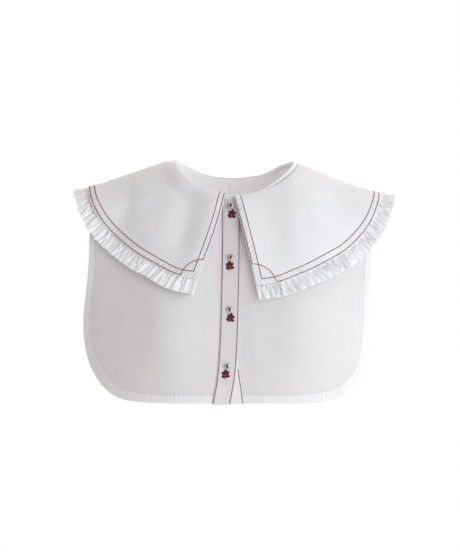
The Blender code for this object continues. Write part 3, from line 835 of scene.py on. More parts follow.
def thread_tubes(name, centres, ups, width, height, material):
    """Tubes along rows of centre points (count, rings, 3), flattened against the cloth."""
    count, rings, _ = centres.shape
    along = np.gradient(centres, axis=1)
    along /= np.linalg.norm(along, axis=-1, keepdims=True) + 1e-12
    aside = np.cross(along, ups)
    aside /= np.linalg.norm(aside, axis=-1, keepdims=True) + 1e-12
    up = np.cross(aside, along)
    angle = round_angles(TUBE_SIDES)
    taper = np.ones(rings)
    taper[[0, -1]] = TAPER
    ring = (
        aside[:, :, None] * np.cos(angle)[None, None, :, None] * (width / 2 * MM)
        + up[:, :, None] * np.sin(angle)[None, None, :, None] * (height / 2 * MM)
    ) * taper[None, :, None, None]
    points = (centres[:, :, None] + ring).reshape(-1, 3)
    corner = np.arange(count * rings * TUBE_SIDES).reshape(count, rings, TUBE_SIDES)
    caps = np.concatenate((corner[:, 0, ::-1], corner[:, -1]))
    steps = np.linalg.norm(np.diff(centres, axis=1), axis=-1)
    length = np.concatenate((np.zeros((count, 1)), np.cumsum(steps, 1)), 1)
    around = angle / (2 * math.pi) * width * 2 * MM
    uv = np.stack(np.broadcast_arrays(length[..., None], around[None, None]), -1).reshape(-1, 2)
    return new_piece(name, points, swept_walls(corner).tolist() + caps.tolist(), (material,), uv)


def surface_of(piece):
    """A search tree over a piece's faces, for rays."""
    mesh = piece.data
    return BVHTree.FromPolygons([v.co for v in mesh.vertices], [p.vertices for p in mesh.polygons])


def even_line(points, spacing):
    """Stations every spacing millimetres along a chart line, and the line as a function of them."""
    points = np.asarray(points, float)
    along = lengths_along(cloth_at(points[:, 0], points[:, 1], 0.0) / MM)
    stations = np.arange(0.0, along[-1], spacing)
    return stations, lambda s: np.stack([np.interp(s, along, points[:, i]) for i in (0, 1)], -1)


STITCH_SHARES = (0.04, 0.2, 0.5, 0.8, 0.96)  # of a stitch's pitch, at the points of its thread
STITCH_HEIGHTS = (-0.35, 0.3, 0.45, 0.3, -0.35)  # of the thread's height, above the cloth
RAY_START, RAY_LENGTH = 25.0, 80.0  # how far outside the chart a ray starts, and how far it looks


def stitches_on(tree, line, pitch, outside):
    """Centres and outward directions of a row of stitches on a piece's surface."""
    stations, place = even_line(line, pitch)
    centres, ups = [], []
    for station in stations:
        chart = place(station + pitch * np.array(STITCH_SHARES))
        ways = outward_way(chart[:, 0], chart[:, 1]) * outside
        starts = form(chart[:, 0], chart[:, 1]) * MM + ways * RAY_START * MM
        hits = [tree.ray_cast(Vector(a), Vector(-w), RAY_LENGTH * MM) for a, w in zip(starts, ways)]
        if any(hit[0] is None for hit in hits):
            continue
        found = np.array([hit[0] for hit in hits])
        normal = np.array([hit[1] for hit in hits])
        normal *= np.sign((normal * ways).sum(-1, keepdims=True))
        centres.append(found)
        ups.append(normal)
    return np.array(centres), np.array(ups)


def sew(name, tree, lines, stitch, material, outside=1):
    """All the rows of stitches on one piece, as one object. A stitch is its pitch, width and height."""
    pitch, width, height = stitch
    centres, ups = zip(*(stitches_on(tree, line, pitch, outside) for line in lines))
    centres, ups = np.concatenate(centres), np.concatenate(ups)
    sunk = np.array(STITCH_HEIGHTS)[None, :, None] * height * MM
    piece = thread_tubes(name, centres + ups * sunk, ups, width, height, material)
    print(f"{name}: {len(centres)} stitches of {pitch} mm")
    return piece


# %% [markdown]
# ## The panels as they hang
# A single layer over a figure isn't flat. The wearer's right front swells where it lies under the
# collar's front edge, and each front dips where it goes under its placket. The back has a seam down its
# middle, and its top, inside the neck, is drawn in the whiter doubled cloth: painted light that
# brightens the inside of the neck. The small waviness that every pressed cloth keeps is seeded noise at
# two slants. The grid is finest at the hems, which turn sharply.

# %% Make the four panels
PANEL_AWAY = BAND_WIDTH - TUCK  # the panels' neck edge, hidden in the band
PANEL_ACROSS = {FRONT: (4, 66, 54, 18), BACK: (4, 90, 32, 12)}  # cells of the grid in each stretch
PANEL_DOWN = {FRONT: (6, 112, 18), BACK: (5, 90, 14)}
UNDER_COLLAR = (((-8.0, -16.0), (-70.0, -210.0)), (12.0, 17.0), 5.2)  # the swell: line, widths, height
BACK_SEAM_DIP, BACK_SEAM_WIDTH = 0.5, 0.9
NECK_PAINTED_LIGHT_SHARE = 0.16  # of a back panel, from the neck down, is drawn in the whiter cloth: painted light inside the neck
NECK_PUCKER, NECK_PUCKER_PITCH = 0.16, 4.4  # of the back panels, below the band
WAVINESS = 0.12


def inner_edge(side, face):
    """x of a panel's inner edge by height: at the seam behind, under its placket in front."""
    if face == BACK:
        return lambda z: CENTRE_BACK_X + 0.0 * z
    if side == RIGHT:
        return lambda z: placket_x(z, 0) + TUCK
    return lambda z: under_seam(-z) - TUCK


def front_lift(side, x, run):
    """Lift of a front beside its placket: the swell under the collar, and the dip at the placket."""
    z = form(x, run)[..., 2]
    if side == RIGHT:
        from_placket = placket_x(z, 0) - x
        swell = crease(x, run, *on_chart(UNDER_COLLAR[0], FRONT), *UNDER_COLLAR[1:])
        return swell * soft_step(from_placket / 10.0) - 0.55 * soft_step((1.0 - from_placket) / 1.6)
    from_seam = x - under_seam(-z)
    return UNDER_LIFT * (1 - soft_step(from_seam / UNDER_FADE)) - 0.65 * soft_step(-from_seam / 1.2)


def make_panel(side, face):
    """A panel with its folds and its turned hem, and the chart line of its hemmed edge."""
    edges, hem_z = (FRONT_SIDE_EDGE[side], FRONT_HEM_EDGE[side]), FRONT_HEM_Z
    if face == BACK:
        edges = [[(side * x, z) for x, z in edge] for edge in (BACK_SIDE_EDGE, BACK_HEM_EDGE)]
        hem_z = BACK_HEM_Z
    place, hemmed = panel_patch(side, face, inner_edge(side, face), *edges, hem_z, PANEL_AWAY)
    across = stretches((0.012, NECK_SHARE, 0.945), PANEL_ACROSS[face])
    u, v = np.meshgrid(across, stretches((0.03, 0.955), PANEL_DOWN[face]))
    x, run = np.moveaxis(place(u, v), -1, 0)
    lift, thickness, doubled = hem_relief(hemmed, x, run, 10 + side + 4 * face)
    for start, end, width, height in PANEL_FOLDS[side, face]:
        start, end = on_chart([start, end], face)
        lift = lift + crease(x, run, start, end, width, height)
    lift = lift + figure_lift(side, face, x, run)
    if face == FRONT:
        lift = lift + front_lift(side, x, run)
    else:
        below_band = np.linalg.norm(np.stack([x, run]) - np.stack([x[0], run[0]])[:, None], axis=0)
        dip = BACK_SEAM_DIP * (1 - 2.6 * (1 - soft_step((below_band - 20.0) / 20.0)))
        lift = lift - dip * bell((x - CENTRE_BACK_X) / BACK_SEAM_WIDTH)
        drawn = NECK_PUCKER * puckers(x, NECK_PUCKER_PITCH, 90)
        lift = lift + drawn * bell((below_band - 7.0) / 6.0)
        # painted light: the top of the back is drawn in the whiter cloth, which brightens the inside of
        # the neck
        doubled = doubled | (v < NECK_PAINTED_LIGHT_SHARE)
    waves = wander(x + 0.4 * run, 31.0, 50 + side) * wander(run - 0.3 * x, 43.0, 60 + face)
    lift = lift + WAVINESS * waves
    name = f"{FACE_NAMES[face]}_{SIDE_NAMES[side]}_panel"
    return lay_cloth(name, x, run, lift, thickness, (POPLIN, POPLIN_DOUBLE_AND_PAINTED_LIGHT), doubled), hemmed


panels, panel_trees = {}, {}
for side in SIDES:
    for face in (FRONT, BACK):
        panels[side, face] = make_panel(side, face)
        panel_trees[side, face] = surface_of(panels[side, face][0])

# %% Sew the panels' hems
HEM_STITCH = (2.6, 0.45, 0.3)  # pitch, and the thread's width and height
HEM_FROM, HEM_TO = 6, -3  # points of the edge between which it is sewn, clear of shoulder and placket


def hem_line(hemmed):
    """The sewn line of a hem: the edge moved inwards by the hem's width."""
    place = lengths_along(hemmed)
    way = np.gradient(hemmed, axis=0)
    way /= np.linalg.norm(way, axis=1, keepdims=True)
    inward = np.stack([way[:, 1], -way[:, 0]], -1)
    middle = hemmed.mean(0)
    inward *= np.sign(((middle - hemmed) * inward).sum(1).sum())
    return (hemmed + inward * hem_width(place, place[-1])[:, None])[HEM_FROM:HEM_TO]


hem_threads = {}
for (side, face), (piece, hemmed) in panels.items():
    hem_threads[side, face] = sew(
        piece.name.replace("panel", "hem_stitches"), panel_trees[side, face], [hem_line(hemmed)],
        HEM_STITCH, WHITE_THREAD,
    )

# %% [markdown]
# ## The plackets
# Two straight bands close the front. The top one is edge-stitched in wine thread down both long edges,
# and swings a little to the wearer's right near its foot, where its free edge curls down. There the
# under one shows beside it as a narrow wedge of doubled cloth, with its own wine line. A faint drag in
# the cloth runs towards each button. Both are one function, whose grid follows the two long edges.

# %% Make the plackets
PLACKET_WALL = 0.8
PLACKET_LIFT = 0.1
TOP_LEAN = (0.1, -0.085)  # slope across it at the top and at the foot
UNDER_LEAN = (0.0, 0.0)
EDGE_ROLL = 0.5  # the free long edge of the top placket curls down
EDGE_SEAMS = (0.085, 0.078)  # share of the width from each long edge to its sewn line
PLACKET_TOP_Z, PLACKET_FOOT_Z = -48.0, -324.0
PLACKET_HEM = 9.6
BUTTON_HEIGHTS = (-61.7, -130.1, -198.6, -273.1)
DRAG, DRAG_WIDTH, DRAG_REACH = 0.2, 5.5, 9.0  # lines that a button draws in the cloth above and below it


def make_placket(name, low_x, high_x, foot_z, lift, lean, roll, material, seed):
    """A placket between two long edges, given as x by height, hung from the neck line to its foot."""
    u, v = np.meshgrid(stretches((0.09, 0.91), (6, 22, 6)), stretches((0.955,), (150, 20)))

    def edge_x(z):
        return (1 - u) * low_x(z) + u * high_x(z)

    turns = [neck_turn_at(float(x), PANEL_AWAY) for x in edge_x(PLACKET_TOP_Z)[0]]
    start = neck_point(np.array(turns), PANEL_AWAY)[:, 1][None]
    run = start + v * (run_at(edge_x(foot_z), foot_z, FRONT) - start)
    x = edge_x(foot_z)
    for _ in range(4):
        x = edge_x(form(x, run)[..., 2])
    z = form(x, run)[..., 2]
    foot = (z - foot_z) - PLACKET_HEM
    relief = 0.18 * soft_step(-foot / 1.2) - 0.3 * bell(foot / 0.7)
    for edge, share in zip((u, 1 - u), EDGE_SEAMS):
        seam = np.abs(edge - share) * PLACKET_WIDTH
        relief = relief - 0.22 * bell(seam / 0.9) + 0.1 * puckers(run, 4.3, seed) * bell(seam / 2.0)
    for height in BUTTON_HEIGHTS:
        for turn in (-1, 1):
            heading = 0.16 * turn * (x - placket_middle(-z)) / PLACKET_WIDTH
            pull = bell((z - height - turn * DRAG_REACH + 26 * heading) / DRAG_WIDTH)
            relief = relief + DRAG * pull * np.sin(math.pi * u)
    relief = relief + 0.22 * wander(run + 6 * u, 17.0, seed + 5) * np.sin(math.pi * u)
    relief = relief + PLACKET_WIDTH * (u - 0.5) * (lean[0] + v * (lean[1] - lean[0]))
    relief = relief - roll * soft_step((u - 0.92) / 0.08)
    return lay_cloth(name, x, run, lift + relief, PLACKET_WALL, (material,))


placket_top = make_placket(
    "top_placket", lambda z: placket_x(z, 0), lambda z: placket_x(z, 1), PLACKET_FOOT_Z,
    PLACKET_LIFT, TOP_LEAN, EDGE_ROLL, POPLIN, 3,
)
placket_under = make_placket(
    "under_placket", lambda z: under_seam(-z) - PLACKET_WIDTH, lambda z: under_seam(-z) + 0.0,
    FRONT_HEM_Z, UNDER_LIFT, UNDER_LEAN, 0.0, POPLIN_DOUBLE_AND_PAINTED_LIGHT, 4,
)

# %% Sew the plackets
WINE_STITCH = (3.0, 1.2, 0.65)  # pitch, and the thread's width and height
EDGE_LINE_RIGHT, EDGE_LINE_LEFT, UNDER_LINE = 1.5, 1.9, 1.9  # from the edge beside each line
TOP_LINE_Z, UNDER_LINE_Z = (-56.0, -323.0), (-277.0, -321.5)  # the under one starts where it shows


def upright_line(x_at, top_z, foot_z):
    """A chart line down the front, with its x by height."""
    z = np.linspace(top_z, foot_z, 120)
    return on_chart(np.stack([x_at(z), z], -1), FRONT)


top_tree, under_tree = surface_of(placket_top), surface_of(placket_under)
placket_thread = sew(
    "top_placket_wine_stitches", top_tree,
    [
        upright_line(lambda z: placket_x(z, 0) + EDGE_LINE_RIGHT, *TOP_LINE_Z),
        upright_line(lambda z: placket_x(z, 1) - EDGE_LINE_LEFT, *TOP_LINE_Z),
    ],
    WINE_STITCH, WINE_THREAD,
)
under_thread = sew(
    "under_placket_wine_stitches", under_tree,
    [upright_line(lambda z: under_seam(-z) - UNDER_LINE, *UNDER_LINE_Z)],
    WINE_STITCH, WINE_THREAD,
)
foot_z = PLACKET_FOOT_Z + PLACKET_HEM
foot_line = [(placket_x(foot_z, share), foot_z) for share in np.linspace(0.1, 0.9, 30)]
foot_thread = sew(
    "top_placket_hem_stitches", top_tree, [on_chart(foot_line, FRONT)], HEM_STITCH, WHITE_THREAD
)

# %% [markdown]
# ## The neck band
# The neck is bound with a narrow folded strip. It shows inside the back of the neck, with a sewn line
# near its lower edge and the fine puckers that sewing round a curve makes. Outside it shows where the
# collar stands back from it, along the wearer's left and in a small wedge at the right side, and there
# it stands up a little. It is a rounded section swept round the opening. A curve with a bevel would
# give the same sweep, but its section couldn't change on the way, so it couldn't pucker or tilt.

# %% Make the neck band
BAND_WALL = 2.0
BAND_SECTION, BAND_RINGS = 16, 521
BAND_ROUNDING = 0.55  # power of a section between an ellipse, 1, and a rectangle, 0
BAND_SHOWN = 5.9  # where the collar starts when it leaves the band open
BAND_OPENS_X = (28.0, 68.0)  # on the wearer's left, from covered to open
BAND_WEDGE, BAND_WEDGE_TURN = 0.85, 8.0  # share of it that shows at the right side, over some degrees
BAND_TILT = 2.6  # the open band stands up at the neck
BAND_SEAM = 4.9  # from the neck line to the sewn line
BAND_ENDS_TURN = 0.04  # degrees that each end keeps from the centre front
BAND_PUCKER, BAND_PUCKER_PITCH = 0.16, 3.4


def band_section():
    """away and lift of a rounded flat section."""
    angle = round_angles(BAND_SECTION)
    away = np.sign(np.cos(angle)) * np.abs(np.cos(angle)) ** BAND_ROUNDING * (BAND_WIDTH / 2)
    lift = np.sign(np.sin(angle)) * np.abs(np.sin(angle)) ** BAND_ROUNDING * (BAND_WALL / 2)
    return BAND_WIDTH / 2 + away, lift


def band_shown(turn):
    """Share of the band that the collar leaves open: much on the wearer's left, a wedge on the right."""
    covered_x, open_x = BAND_OPENS_X
    left = soft_step((neck_point(turn, 0.0)[..., 0] - covered_x) / (open_x - covered_x))
    return left + BAND_WEDGE * bell((np.asarray(turn) % 360 - 180) / BAND_WEDGE_TURN)


def make_neck_band():
    """The bound neck edge, from the centre front once round and back to it."""
    start = neck_turn_at(CENTRE_FRONT_X, 0.0)
    turns = np.linspace(start + BAND_ENDS_TURN, start + 360 - BAND_ENDS_TURN, BAND_RINGS)[:, None]
    away, lift = band_section()
    place = turns / 360 * NECK_LENGTH
    sewn = bell((away - BAND_SEAM) / 0.8)[None]
    side_of = np.sign(lift)[None]
    ripple = BAND_PUCKER * puckers(place, BAND_PUCKER_PITCH, 21) * bell((away - 4.2) / 2.2)[None]
    lift = lift[None] + side_of * (ripple - 0.2 * sewn)
    away = np.broadcast_to(away, lift.shape)
    x, run = np.moveaxis(neck_point(turns + 0 * away, away), -1, 0)
    lift = lift + BAND_TILT * band_shown(turns) * (1 - away / BAND_WIDTH)
    points = cloth_at(x, run, lift).reshape(-1, 3)
    corner = np.arange(len(points)).reshape(BAND_RINGS, BAND_SECTION)
    faces = [*swept_walls(corner).tolist(), corner[0, ::-1].tolist(), corner[-1].tolist()]
    uv = np.stack([place + 0 * away, away + 8 * (lift > 0)], -1).reshape(-1, 2) * MM + (0.01, 0.01)
    print(f"neck_binding: {2 * len(faces)} triangles")
    return new_piece("neck_binding", points, faces, (POPLIN_DOUBLE_AND_PAINTED_LIGHT,), uv)


BAND_STITCH = (2.4, 0.4, 0.28)  # pitch, and the thread's width and height
neck_band = make_neck_band()
band_tree = surface_of(neck_band)
round_neck = neck_point(np.linspace(0, 360, 500) + neck_turn_at(CENTRE_FRONT_X, 0.0), BAND_SEAM)[4:-4]
band_threads = [
    sew(f"neck_binding_{name}_stitches", band_tree, [round_neck], BAND_STITCH, WHITE_THREAD, outside)
    for name, outside in (("inner", -1), ("outer", 1))
]

# %% [markdown]
# ## The collar
# Each half is cut double and turned, so its edge is clean and a little thick. It is sewn to the band,
# lies flat over the shoulder, and meets the other half at the centre back. Its chart points lie on
# straight rules from the neck edge to the outer edge, and all its relief is lift. On the wearer's right
# it rolls up beside the neck before it falls. Its front edges stand off the bib, so each half turns a
# little away from the middle. Soft folds run out from the neck, placed as the photograph shows them in
# front and in like kind over the shoulder and behind.

# %% The collar's edges and folds
COLLAR_START_X = {RIGHT: -7.6, LEFT: 1.4}
COLLAR_SEAM_LIFT, COLLAR_LIFT, COLLAR_EDGE_LIFT = 2.1, 3.4, 4.2  # at the band, past it, at the edge
COLLAR_ROLL = 0.12  # share of the way out at which it lies at its full lift
COLLAR_WALL = 0.9
COLLAR_SHOULDER_X = {RIGHT: -190.5, LEFT: 195.0}
COLLAR_FRONT_EDGE = {  # x, height
    RIGHT: (
        (-44.6, -159.4), (-71.7, -155.0), (-94.6, -144.5), (-122.1, -128.8),
        (-146.0, -110.6), (-164.9, -92.6), (-178.2, -74.5), (-187.2, -56.0),
    ),
    LEFT: (
        (32.0, -168.6), (60.9, -164.9), (82.0, -156.6), (102.1, -148.2), (125.0, -136.0),
        (147.8, -122.3), (163.0, -109.3), (175.2, -95.8), (185.2, -81.0), (192.0, -65.5),
    ),
}
COLLAR_BACK_EDGE = ((186, -58), (170, -84), (134, -110), (90, -127), (46, -136), (0, -138))
COLLAR_FOLDS = {  # place from the point to the shoulder, width, height
    RIGHT: ((0.19, 0.12, -1.1), (0.39, 0.10, 1.0), (0.59, 0.09, -1.2), (0.76, 0.08, 0.9)),
    LEFT: ((0.10, 0.08, 0.7), (0.26, 0.11, -1.1), (0.50, 0.12, 1.0), (0.72, 0.10, -0.9)),
}
COLLAR_CREASES = {  # start and end as x and height, width, height
    RIGHT: (
        ((-136.0, -26.0), (-147.0, -100.0), (26.0, 12.0), -2.4),
        ((-114.0, -26.0), (-125.0, -112.0), (13.0, 22.0), 2.1),
        ((-180.0, -16.0), (-186.0, -96.0), (8.0, 22.0), 2.2),
        ((-56.0, -22.0), (-68.0, -136.0), (20.0, 16.0), -2.6),
        ((-84.0, -60.0), (-88.0, -150.0), (14.0, 14.0), 0.6),
    ),
    LEFT: (
        ((78.0, -8.0), (88.0, -158.0), (23.0, 54.0), 4.9),
        ((88.0, -24.0), (124.0, -116.0), (9.0, 14.0), 0.6),
        ((142.0, -48.0), (152.0, -100.0), 10.0, -0.5),
    ),
}
COLLAR_POINT_LIFT = {RIGHT: 1.0, LEFT: 4.0}
COLLAR_POINT_SHARE = 0.1
COLLAR_FRONT_BOW = {RIGHT: 2.6, LEFT: 0.0}  # bow of the front edge towards the placket
BOW_SHARE = 0.05  # of the collar's length from the front, over which the bow fades
NECK_TUCK, NECK_TUCK_SHARE = 0.7, 0.01  # its neck edge dips into the band
COLLAR_STAND_ROLL = {RIGHT: 7.2, LEFT: 0.5}  # how far the collar rolls up beside the neck
ROLL_RISE, ROLL_CREST, ROLL_FALL, ROLL_END = 0.009, 0.035, 0.19, 0.22  # shares out, and along
ROLL_BACK = 0.2  # of the roll, by which the neck edge is set back
EDGE_PUCKER, EDGE_PUCKER_PITCH = 1.0, 5.8  # between the wine lines of the outer edge
FRONT_PUCKER, FRONT_PUCKER_PITCH = {RIGHT: 0.9, LEFT: 1.6}, 5.4
FRONT_SWELL = {RIGHT: 0.7, LEFT: 1.7}
COLLAR_STAND = {RIGHT: 6.2, LEFT: 4.2}  # how far the cloth beside the front edge stands off the bib
COLLAR_STAND_WIDTH = {RIGHT: 20.0, LEFT: 21.0}
COLLAR_STAND_EDGE = {RIGHT: 0.75, LEFT: 0.3}  # share of it that is left at the edge itself
COLLAR_STAND_TOP = {RIGHT: 0.16, LEFT: 0.3}  # share of the way down at which it is full
COLLAR_STAND_CREST = {RIGHT: 11.0, LEFT: 1.5}  # from the front edge
COLLAR_STAND_FALL = 0.55  # share of it that is lost towards the point
COLLAR_WAVINESS = 0.2


def collar_outline(side):
    """Outer edge of a collar half from its point to the centre back, and its share at the shoulder."""
    back = [(side * x, z) for x, z in COLLAR_BACK_EDGE[:-1]] + [(CENTRE_BACK_X, COLLAR_BACK_EDGE[-1][1])]
    front, shoulder = on_chart(COLLAR_FRONT_EDGE[side], FRONT), [[COLLAR_SHOULDER_X[side], 0.0]]
    whole = curve_through(np.vstack([front, shoulder, on_chart(back, BACK)]))
    shares = np.linspace(0, 1, 400)
    return whole, float(shares[np.argmax(whole(shares)[:, 1] <= 0)])


def edge_share(t, shoulder_share):
    """Share of the outer edge for t, which is 0 at the point, 0.5 at the shoulder and 1 behind."""
    behind = shoulder_share + (2 * t - 1) * (1 - shoulder_share)
    return np.where(t < 0.5, 2 * t * shoulder_share, behind)


def outward(side, curve, share):
    """Chart direction that points away from the collar at its outer edge."""
    step = curve(np.minimum(share + 0.002, 1.0)) - curve(np.maximum(share - 0.002, 0.0))
    way = np.stack([step[..., 1], -step[..., 0]], -1)
    return -side * way / np.linalg.norm(way, axis=-1, keepdims=True)


def collar_roll(side, t):
    """Height by which the collar rolls up beside the neck, from the front to the shoulder."""
    return COLLAR_STAND_ROLL[side] * (1 - 0.9 * soft_step((t - ROLL_END) / 0.26))


def collar_chart(side, t, distance):
    """Chart points of a collar half: t along it, distance from its neck edge (0) to its outer edge."""
    whole, shoulder_share = collar_outline(side)
    start = neck_turn_at(COLLAR_START_X[side], 0.0)
    side_turn = 180.0 if side == RIGHT else 0.0
    back_turn = neck_turn_at(CENTRE_BACK_X, 0.0, BACK) - (0.0 if side == RIGHT else 360.0)
    turn = np.where(
        t < 0.5, start + 2 * t * (side_turn - start), side_turn + (2 * t - 1) * (back_turn - side_turn)
    )
    inner = neck_point(turn, BAND_SHOWN * band_shown(turn) + ROLL_BACK * collar_roll(side, t))
    outer = whole(edge_share(t, shoulder_share))
    chart = inner + distance[..., None] * (outer - inner)
    chart[..., 0] += COLLAR_FRONT_BOW[side] * np.sin(math.pi * distance) * bell(t / BOW_SHARE)
    chart[..., 0] = np.where(t == 1, CENTRE_BACK_X, chart[..., 0])
    return chart


def collar_lift(side, t, distance):
    """Lift of the collar between its neck edge and its outer edge."""
    rolled = soft_step(distance / COLLAR_ROLL)
    lift = COLLAR_SEAM_LIFT + (COLLAR_LIFT - COLLAR_SEAM_LIFT) * rolled
    lift = lift + (COLLAR_EDGE_LIFT - COLLAR_LIFT) * soft_step(distance)
    fall = 1 - soft_step((distance - ROLL_CREST) / ROLL_FALL)
    lift = lift + collar_roll(side, t) * soft_step(distance / ROLL_RISE) * fall
    for place, width, height in COLLAR_FOLDS[side]:
        for middle in (place / 2, 1 - place / 2):
            lift = lift + height * bell((t - middle) / (width / 2)) * soft_step(distance * 1.4)
    return lift + COLLAR_POINT_LIFT[side] * bell(t / COLLAR_POINT_SHARE) * distance**2


def collar_stand(side, from_front, distance):
    """The front edges stand off the bib, so each half turns a little away from the middle."""
    fall = 1 - COLLAR_STAND_FALL * soft_step((distance - 0.6) / 0.4)
    down = soft_step(distance / COLLAR_STAND_TOP[side]) * fall
    crest = COLLAR_STAND_CREST[side]
    away = np.maximum(from_front - crest, 0.0)
    rise = COLLAR_STAND_EDGE[side] + (1 - COLLAR_STAND_EDGE[side]) * soft_step(from_front / crest)
    return COLLAR_STAND[side] * rise * bell(away / COLLAR_STAND_WIDTH[side]) * down


def keep_height(x, run, extra):
    """Run moved down so that a point lifted by extra millimetres stays at its height."""
    way = outward_way(x, run)[..., 2]
    return run + extra * way / np.sqrt(1 - np.minimum(way, 0.8) ** 2)


# %% [markdown]
# ## The wine lines
# Two lines of wine stitches follow each half's edges. The inner one turns a sharp corner at the point.
# The outer one cuts the corner in a small arc that crosses it. They are drawn on the chart as offsets
# of the two edges, cut where they come closest, and the arc joins the two outer ones. The cloth between
# the lines is drawn into small puckers. Where the standing cloth was moved down the chart to keep its
# place in the picture, the lines have to move with it, so they are moved as their nearest points were.

# %% The wine lines
OUTER_LINE = {RIGHT: 2.2, LEFT: 1.3}  # from the frill's seam in front
OUTER_LINE_BACK = 2.0
LINE_GAP = 6.6
FRONT_OUTER = {RIGHT: (1.8, 3.0), LEFT: (1.5, 1.6)}  # from the front edge, at the neck and at the point
FRONT_INNER = {RIGHT: (8.2, 10.0), LEFT: (9.8, 9.6)}
ARC_RADIUS = {RIGHT: 25.5, LEFT: 28.5}  # round the collar's point
ARC_DIP = -0.02  # share of the radius by which its middle comes nearer the point


def cut_at(line, other):
    """Both lines cut where they come closest to each other."""
    gaps = np.hypot(*(line[:, None] - other[None]).transpose(2, 0, 1))
    i, j = np.unravel_index(gaps.argmin(), gaps.shape)
    return line[: i + 1], other[j:]


def wine_lines(side):
    """The two stitched lines of a collar half: front, corner arc and outer edge."""
    whole, _ = collar_outline(side)
    shares = np.linspace(0, 1, 900)
    edge, away = whole(shares), outward(side, whole, shares)
    down = np.linspace(0, 1, 300)
    front = collar_chart(side, np.zeros(300), down)
    way = (front[-1] - front[0]) / np.linalg.norm(front[-1] - front[0])
    inward = np.array([way[1], -way[0]])
    inward *= np.sign(inward[0] * side)
    offsets = FRONT_OUTER[side], FRONT_INNER[side]
    near = [front + inward * (a + (b - a) * down)[:, None] for a, b in offsets]
    offset = OUTER_LINE[side] + (OUTER_LINE_BACK - OUTER_LINE[side]) * soft_step((shares - 0.4) / 0.5)
    outer_line = edge - away * offset[:, None]
    inner_line = edge - away * (offset + LINE_GAP)[:, None]
    point, radius = front[-1], ARC_RADIUS[side]
    from_point = np.linalg.norm(near[0] - point, axis=1)
    front_outer = near[0][from_point > radius]
    outer_line = outer_line[np.linalg.norm(outer_line - point, axis=1) > radius]
    ends = [front_outer[-1] - point, outer_line[0] - point]
    angles = np.unwrap([math.atan2(end[1], end[0]) for end in ends])
    sweep = np.linspace(0, 1, 40)
    angle = angles[0] + sweep * (angles[1] - angles[0])
    reach = radius * (1 - ARC_DIP * np.sin(math.pi * sweep))
    arc = point + np.stack([np.cos(angle), np.sin(angle)], -1) * reach[:, None]
    return [*cut_at(near[1], inner_line), front_outer, arc, outer_line], (edge, front)


# %% Make the collar halves
NEAREST = 4  # points whose moves are averaged, the nearer the more


def mover(x, run, moved_run):
    """A function that moves a line of chart points as the cloth around it was moved."""
    tree = KDTree(x.size)
    for number, point in enumerate(zip(x.reshape(-1), run.reshape(-1))):
        tree.insert((*point, 0.0), number)
    tree.balance()
    shifts = (moved_run - run).reshape(-1)

    def moved(line):
        found = [tree.find_n((*point, 0.0), NEAREST) for point in line]
        weights = np.array([[1 / (near[2] + 0.2) for near in nearest] for nearest in found])
        down = np.array([[shifts[near[1]] for near in nearest] for nearest in found])
        return line + np.stack([0 * line[:, 0], (weights * down).sum(1) / weights.sum(1)], -1)

    return moved


def make_collar(side):
    """A collar half, and the function that moves its wine lines with its cloth."""
    t_row = stretches((0.014, 0.5, 0.99), (16, 196, 96, 4))
    t, distance = np.meshgrid(t_row, stretches((0.01, 0.1, 0.8, 0.99), (5, 10, 58, 30, 4)))
    x, run = np.moveaxis(collar_chart(side, t, distance), -1, 0)
    lift = collar_lift(side, t, distance) - NECK_TUCK * bell(distance / NECK_TUCK_SHARE)
    _, (edge, front) = wine_lines(side)
    from_edge, along_edge = beside(edge[::2], x, run)
    from_front, along_front = beside(front[::2], x, run)
    stand = collar_stand(side, from_front, distance)
    for face in (FRONT, BACK):
        lift = lift + figure_lift(side, face, x, run)
        for start, end, width, height in COLLAR_CREASES[side]:
            lift = lift + crease(x, run, *on_chart([start, end], face), width, height)
    flat_run = run
    run = np.where(t < 0.5, keep_height(x, run, stand), run)
    lift = lift + stand
    inner = OUTER_LINE[side] + LINE_GAP
    between = np.sin(math.pi * np.clip((from_edge + 0.5) / (inner + 1.5), 0, 1))
    drawn = EDGE_PUCKER * puckers(along_edge + 0.6 * from_edge, EDGE_PUCKER_PITCH, 30 + side)
    lift = lift + drawn * between
    for place in (OUTER_LINE[side], inner):
        lift = lift - 0.2 * bell((from_edge - place) / 0.9)
    between = np.sin(math.pi * np.clip((from_front + 0.5) / (FRONT_INNER[side][1] + 1.5), 0, 1))
    slanted = along_front + 0.9 * from_front
    drawn = FRONT_PUCKER[side] * puckers(slanted, FRONT_PUCKER_PITCH, 34 + side)
    lift = lift + drawn * between + FRONT_SWELL[side] * bell(from_front / 9.0)
    waves = wander(x + 0.5 * run, 37.0, 71 + side) * wander(run - 0.6 * x, 29.0, 81 + side)
    lift = lift + COLLAR_WAVINESS * waves * soft_step(distance * 2)
    piece = lay_cloth(f"collar_{SIDE_NAMES[side]}_half", x, run, lift, COLLAR_WALL, (POPLIN_DOUBLE_AND_PAINTED_LIGHT,))
    return piece, mover(x, flat_run, run)


collars, collar_threads = {}, {}
for side in SIDES:
    collars[side], moved = make_collar(side)
    collar_threads[side] = sew(
        f"collar_{SIDE_NAMES[side]}_wine_stitches", surface_of(collars[side]),
        [moved(line) for line in wine_lines(side)[0]], WINE_STITCH, WINE_THREAD,
    )

# %% [markdown]
# ## The gathered frill
# The frill is a long strip with a narrow hem, gathered to little more than half its length and caught in
# the collar's edge. Gathers start as many sharp little creases at the seam, where the cloth swells up as
# soon as the seam lets it go. Some die out, others run into the valleys between rounded lobes that stand
# up at the free edge. A lobe leans, so one of its flanks is steep and the other falls gently. Simulated
# cloth would fall into folds of its own choice, but these have to follow the photograph. So the relief
# is made of two layers: lobes between uneven valleys, and seeded creases of uneven length, depth and
# slant.

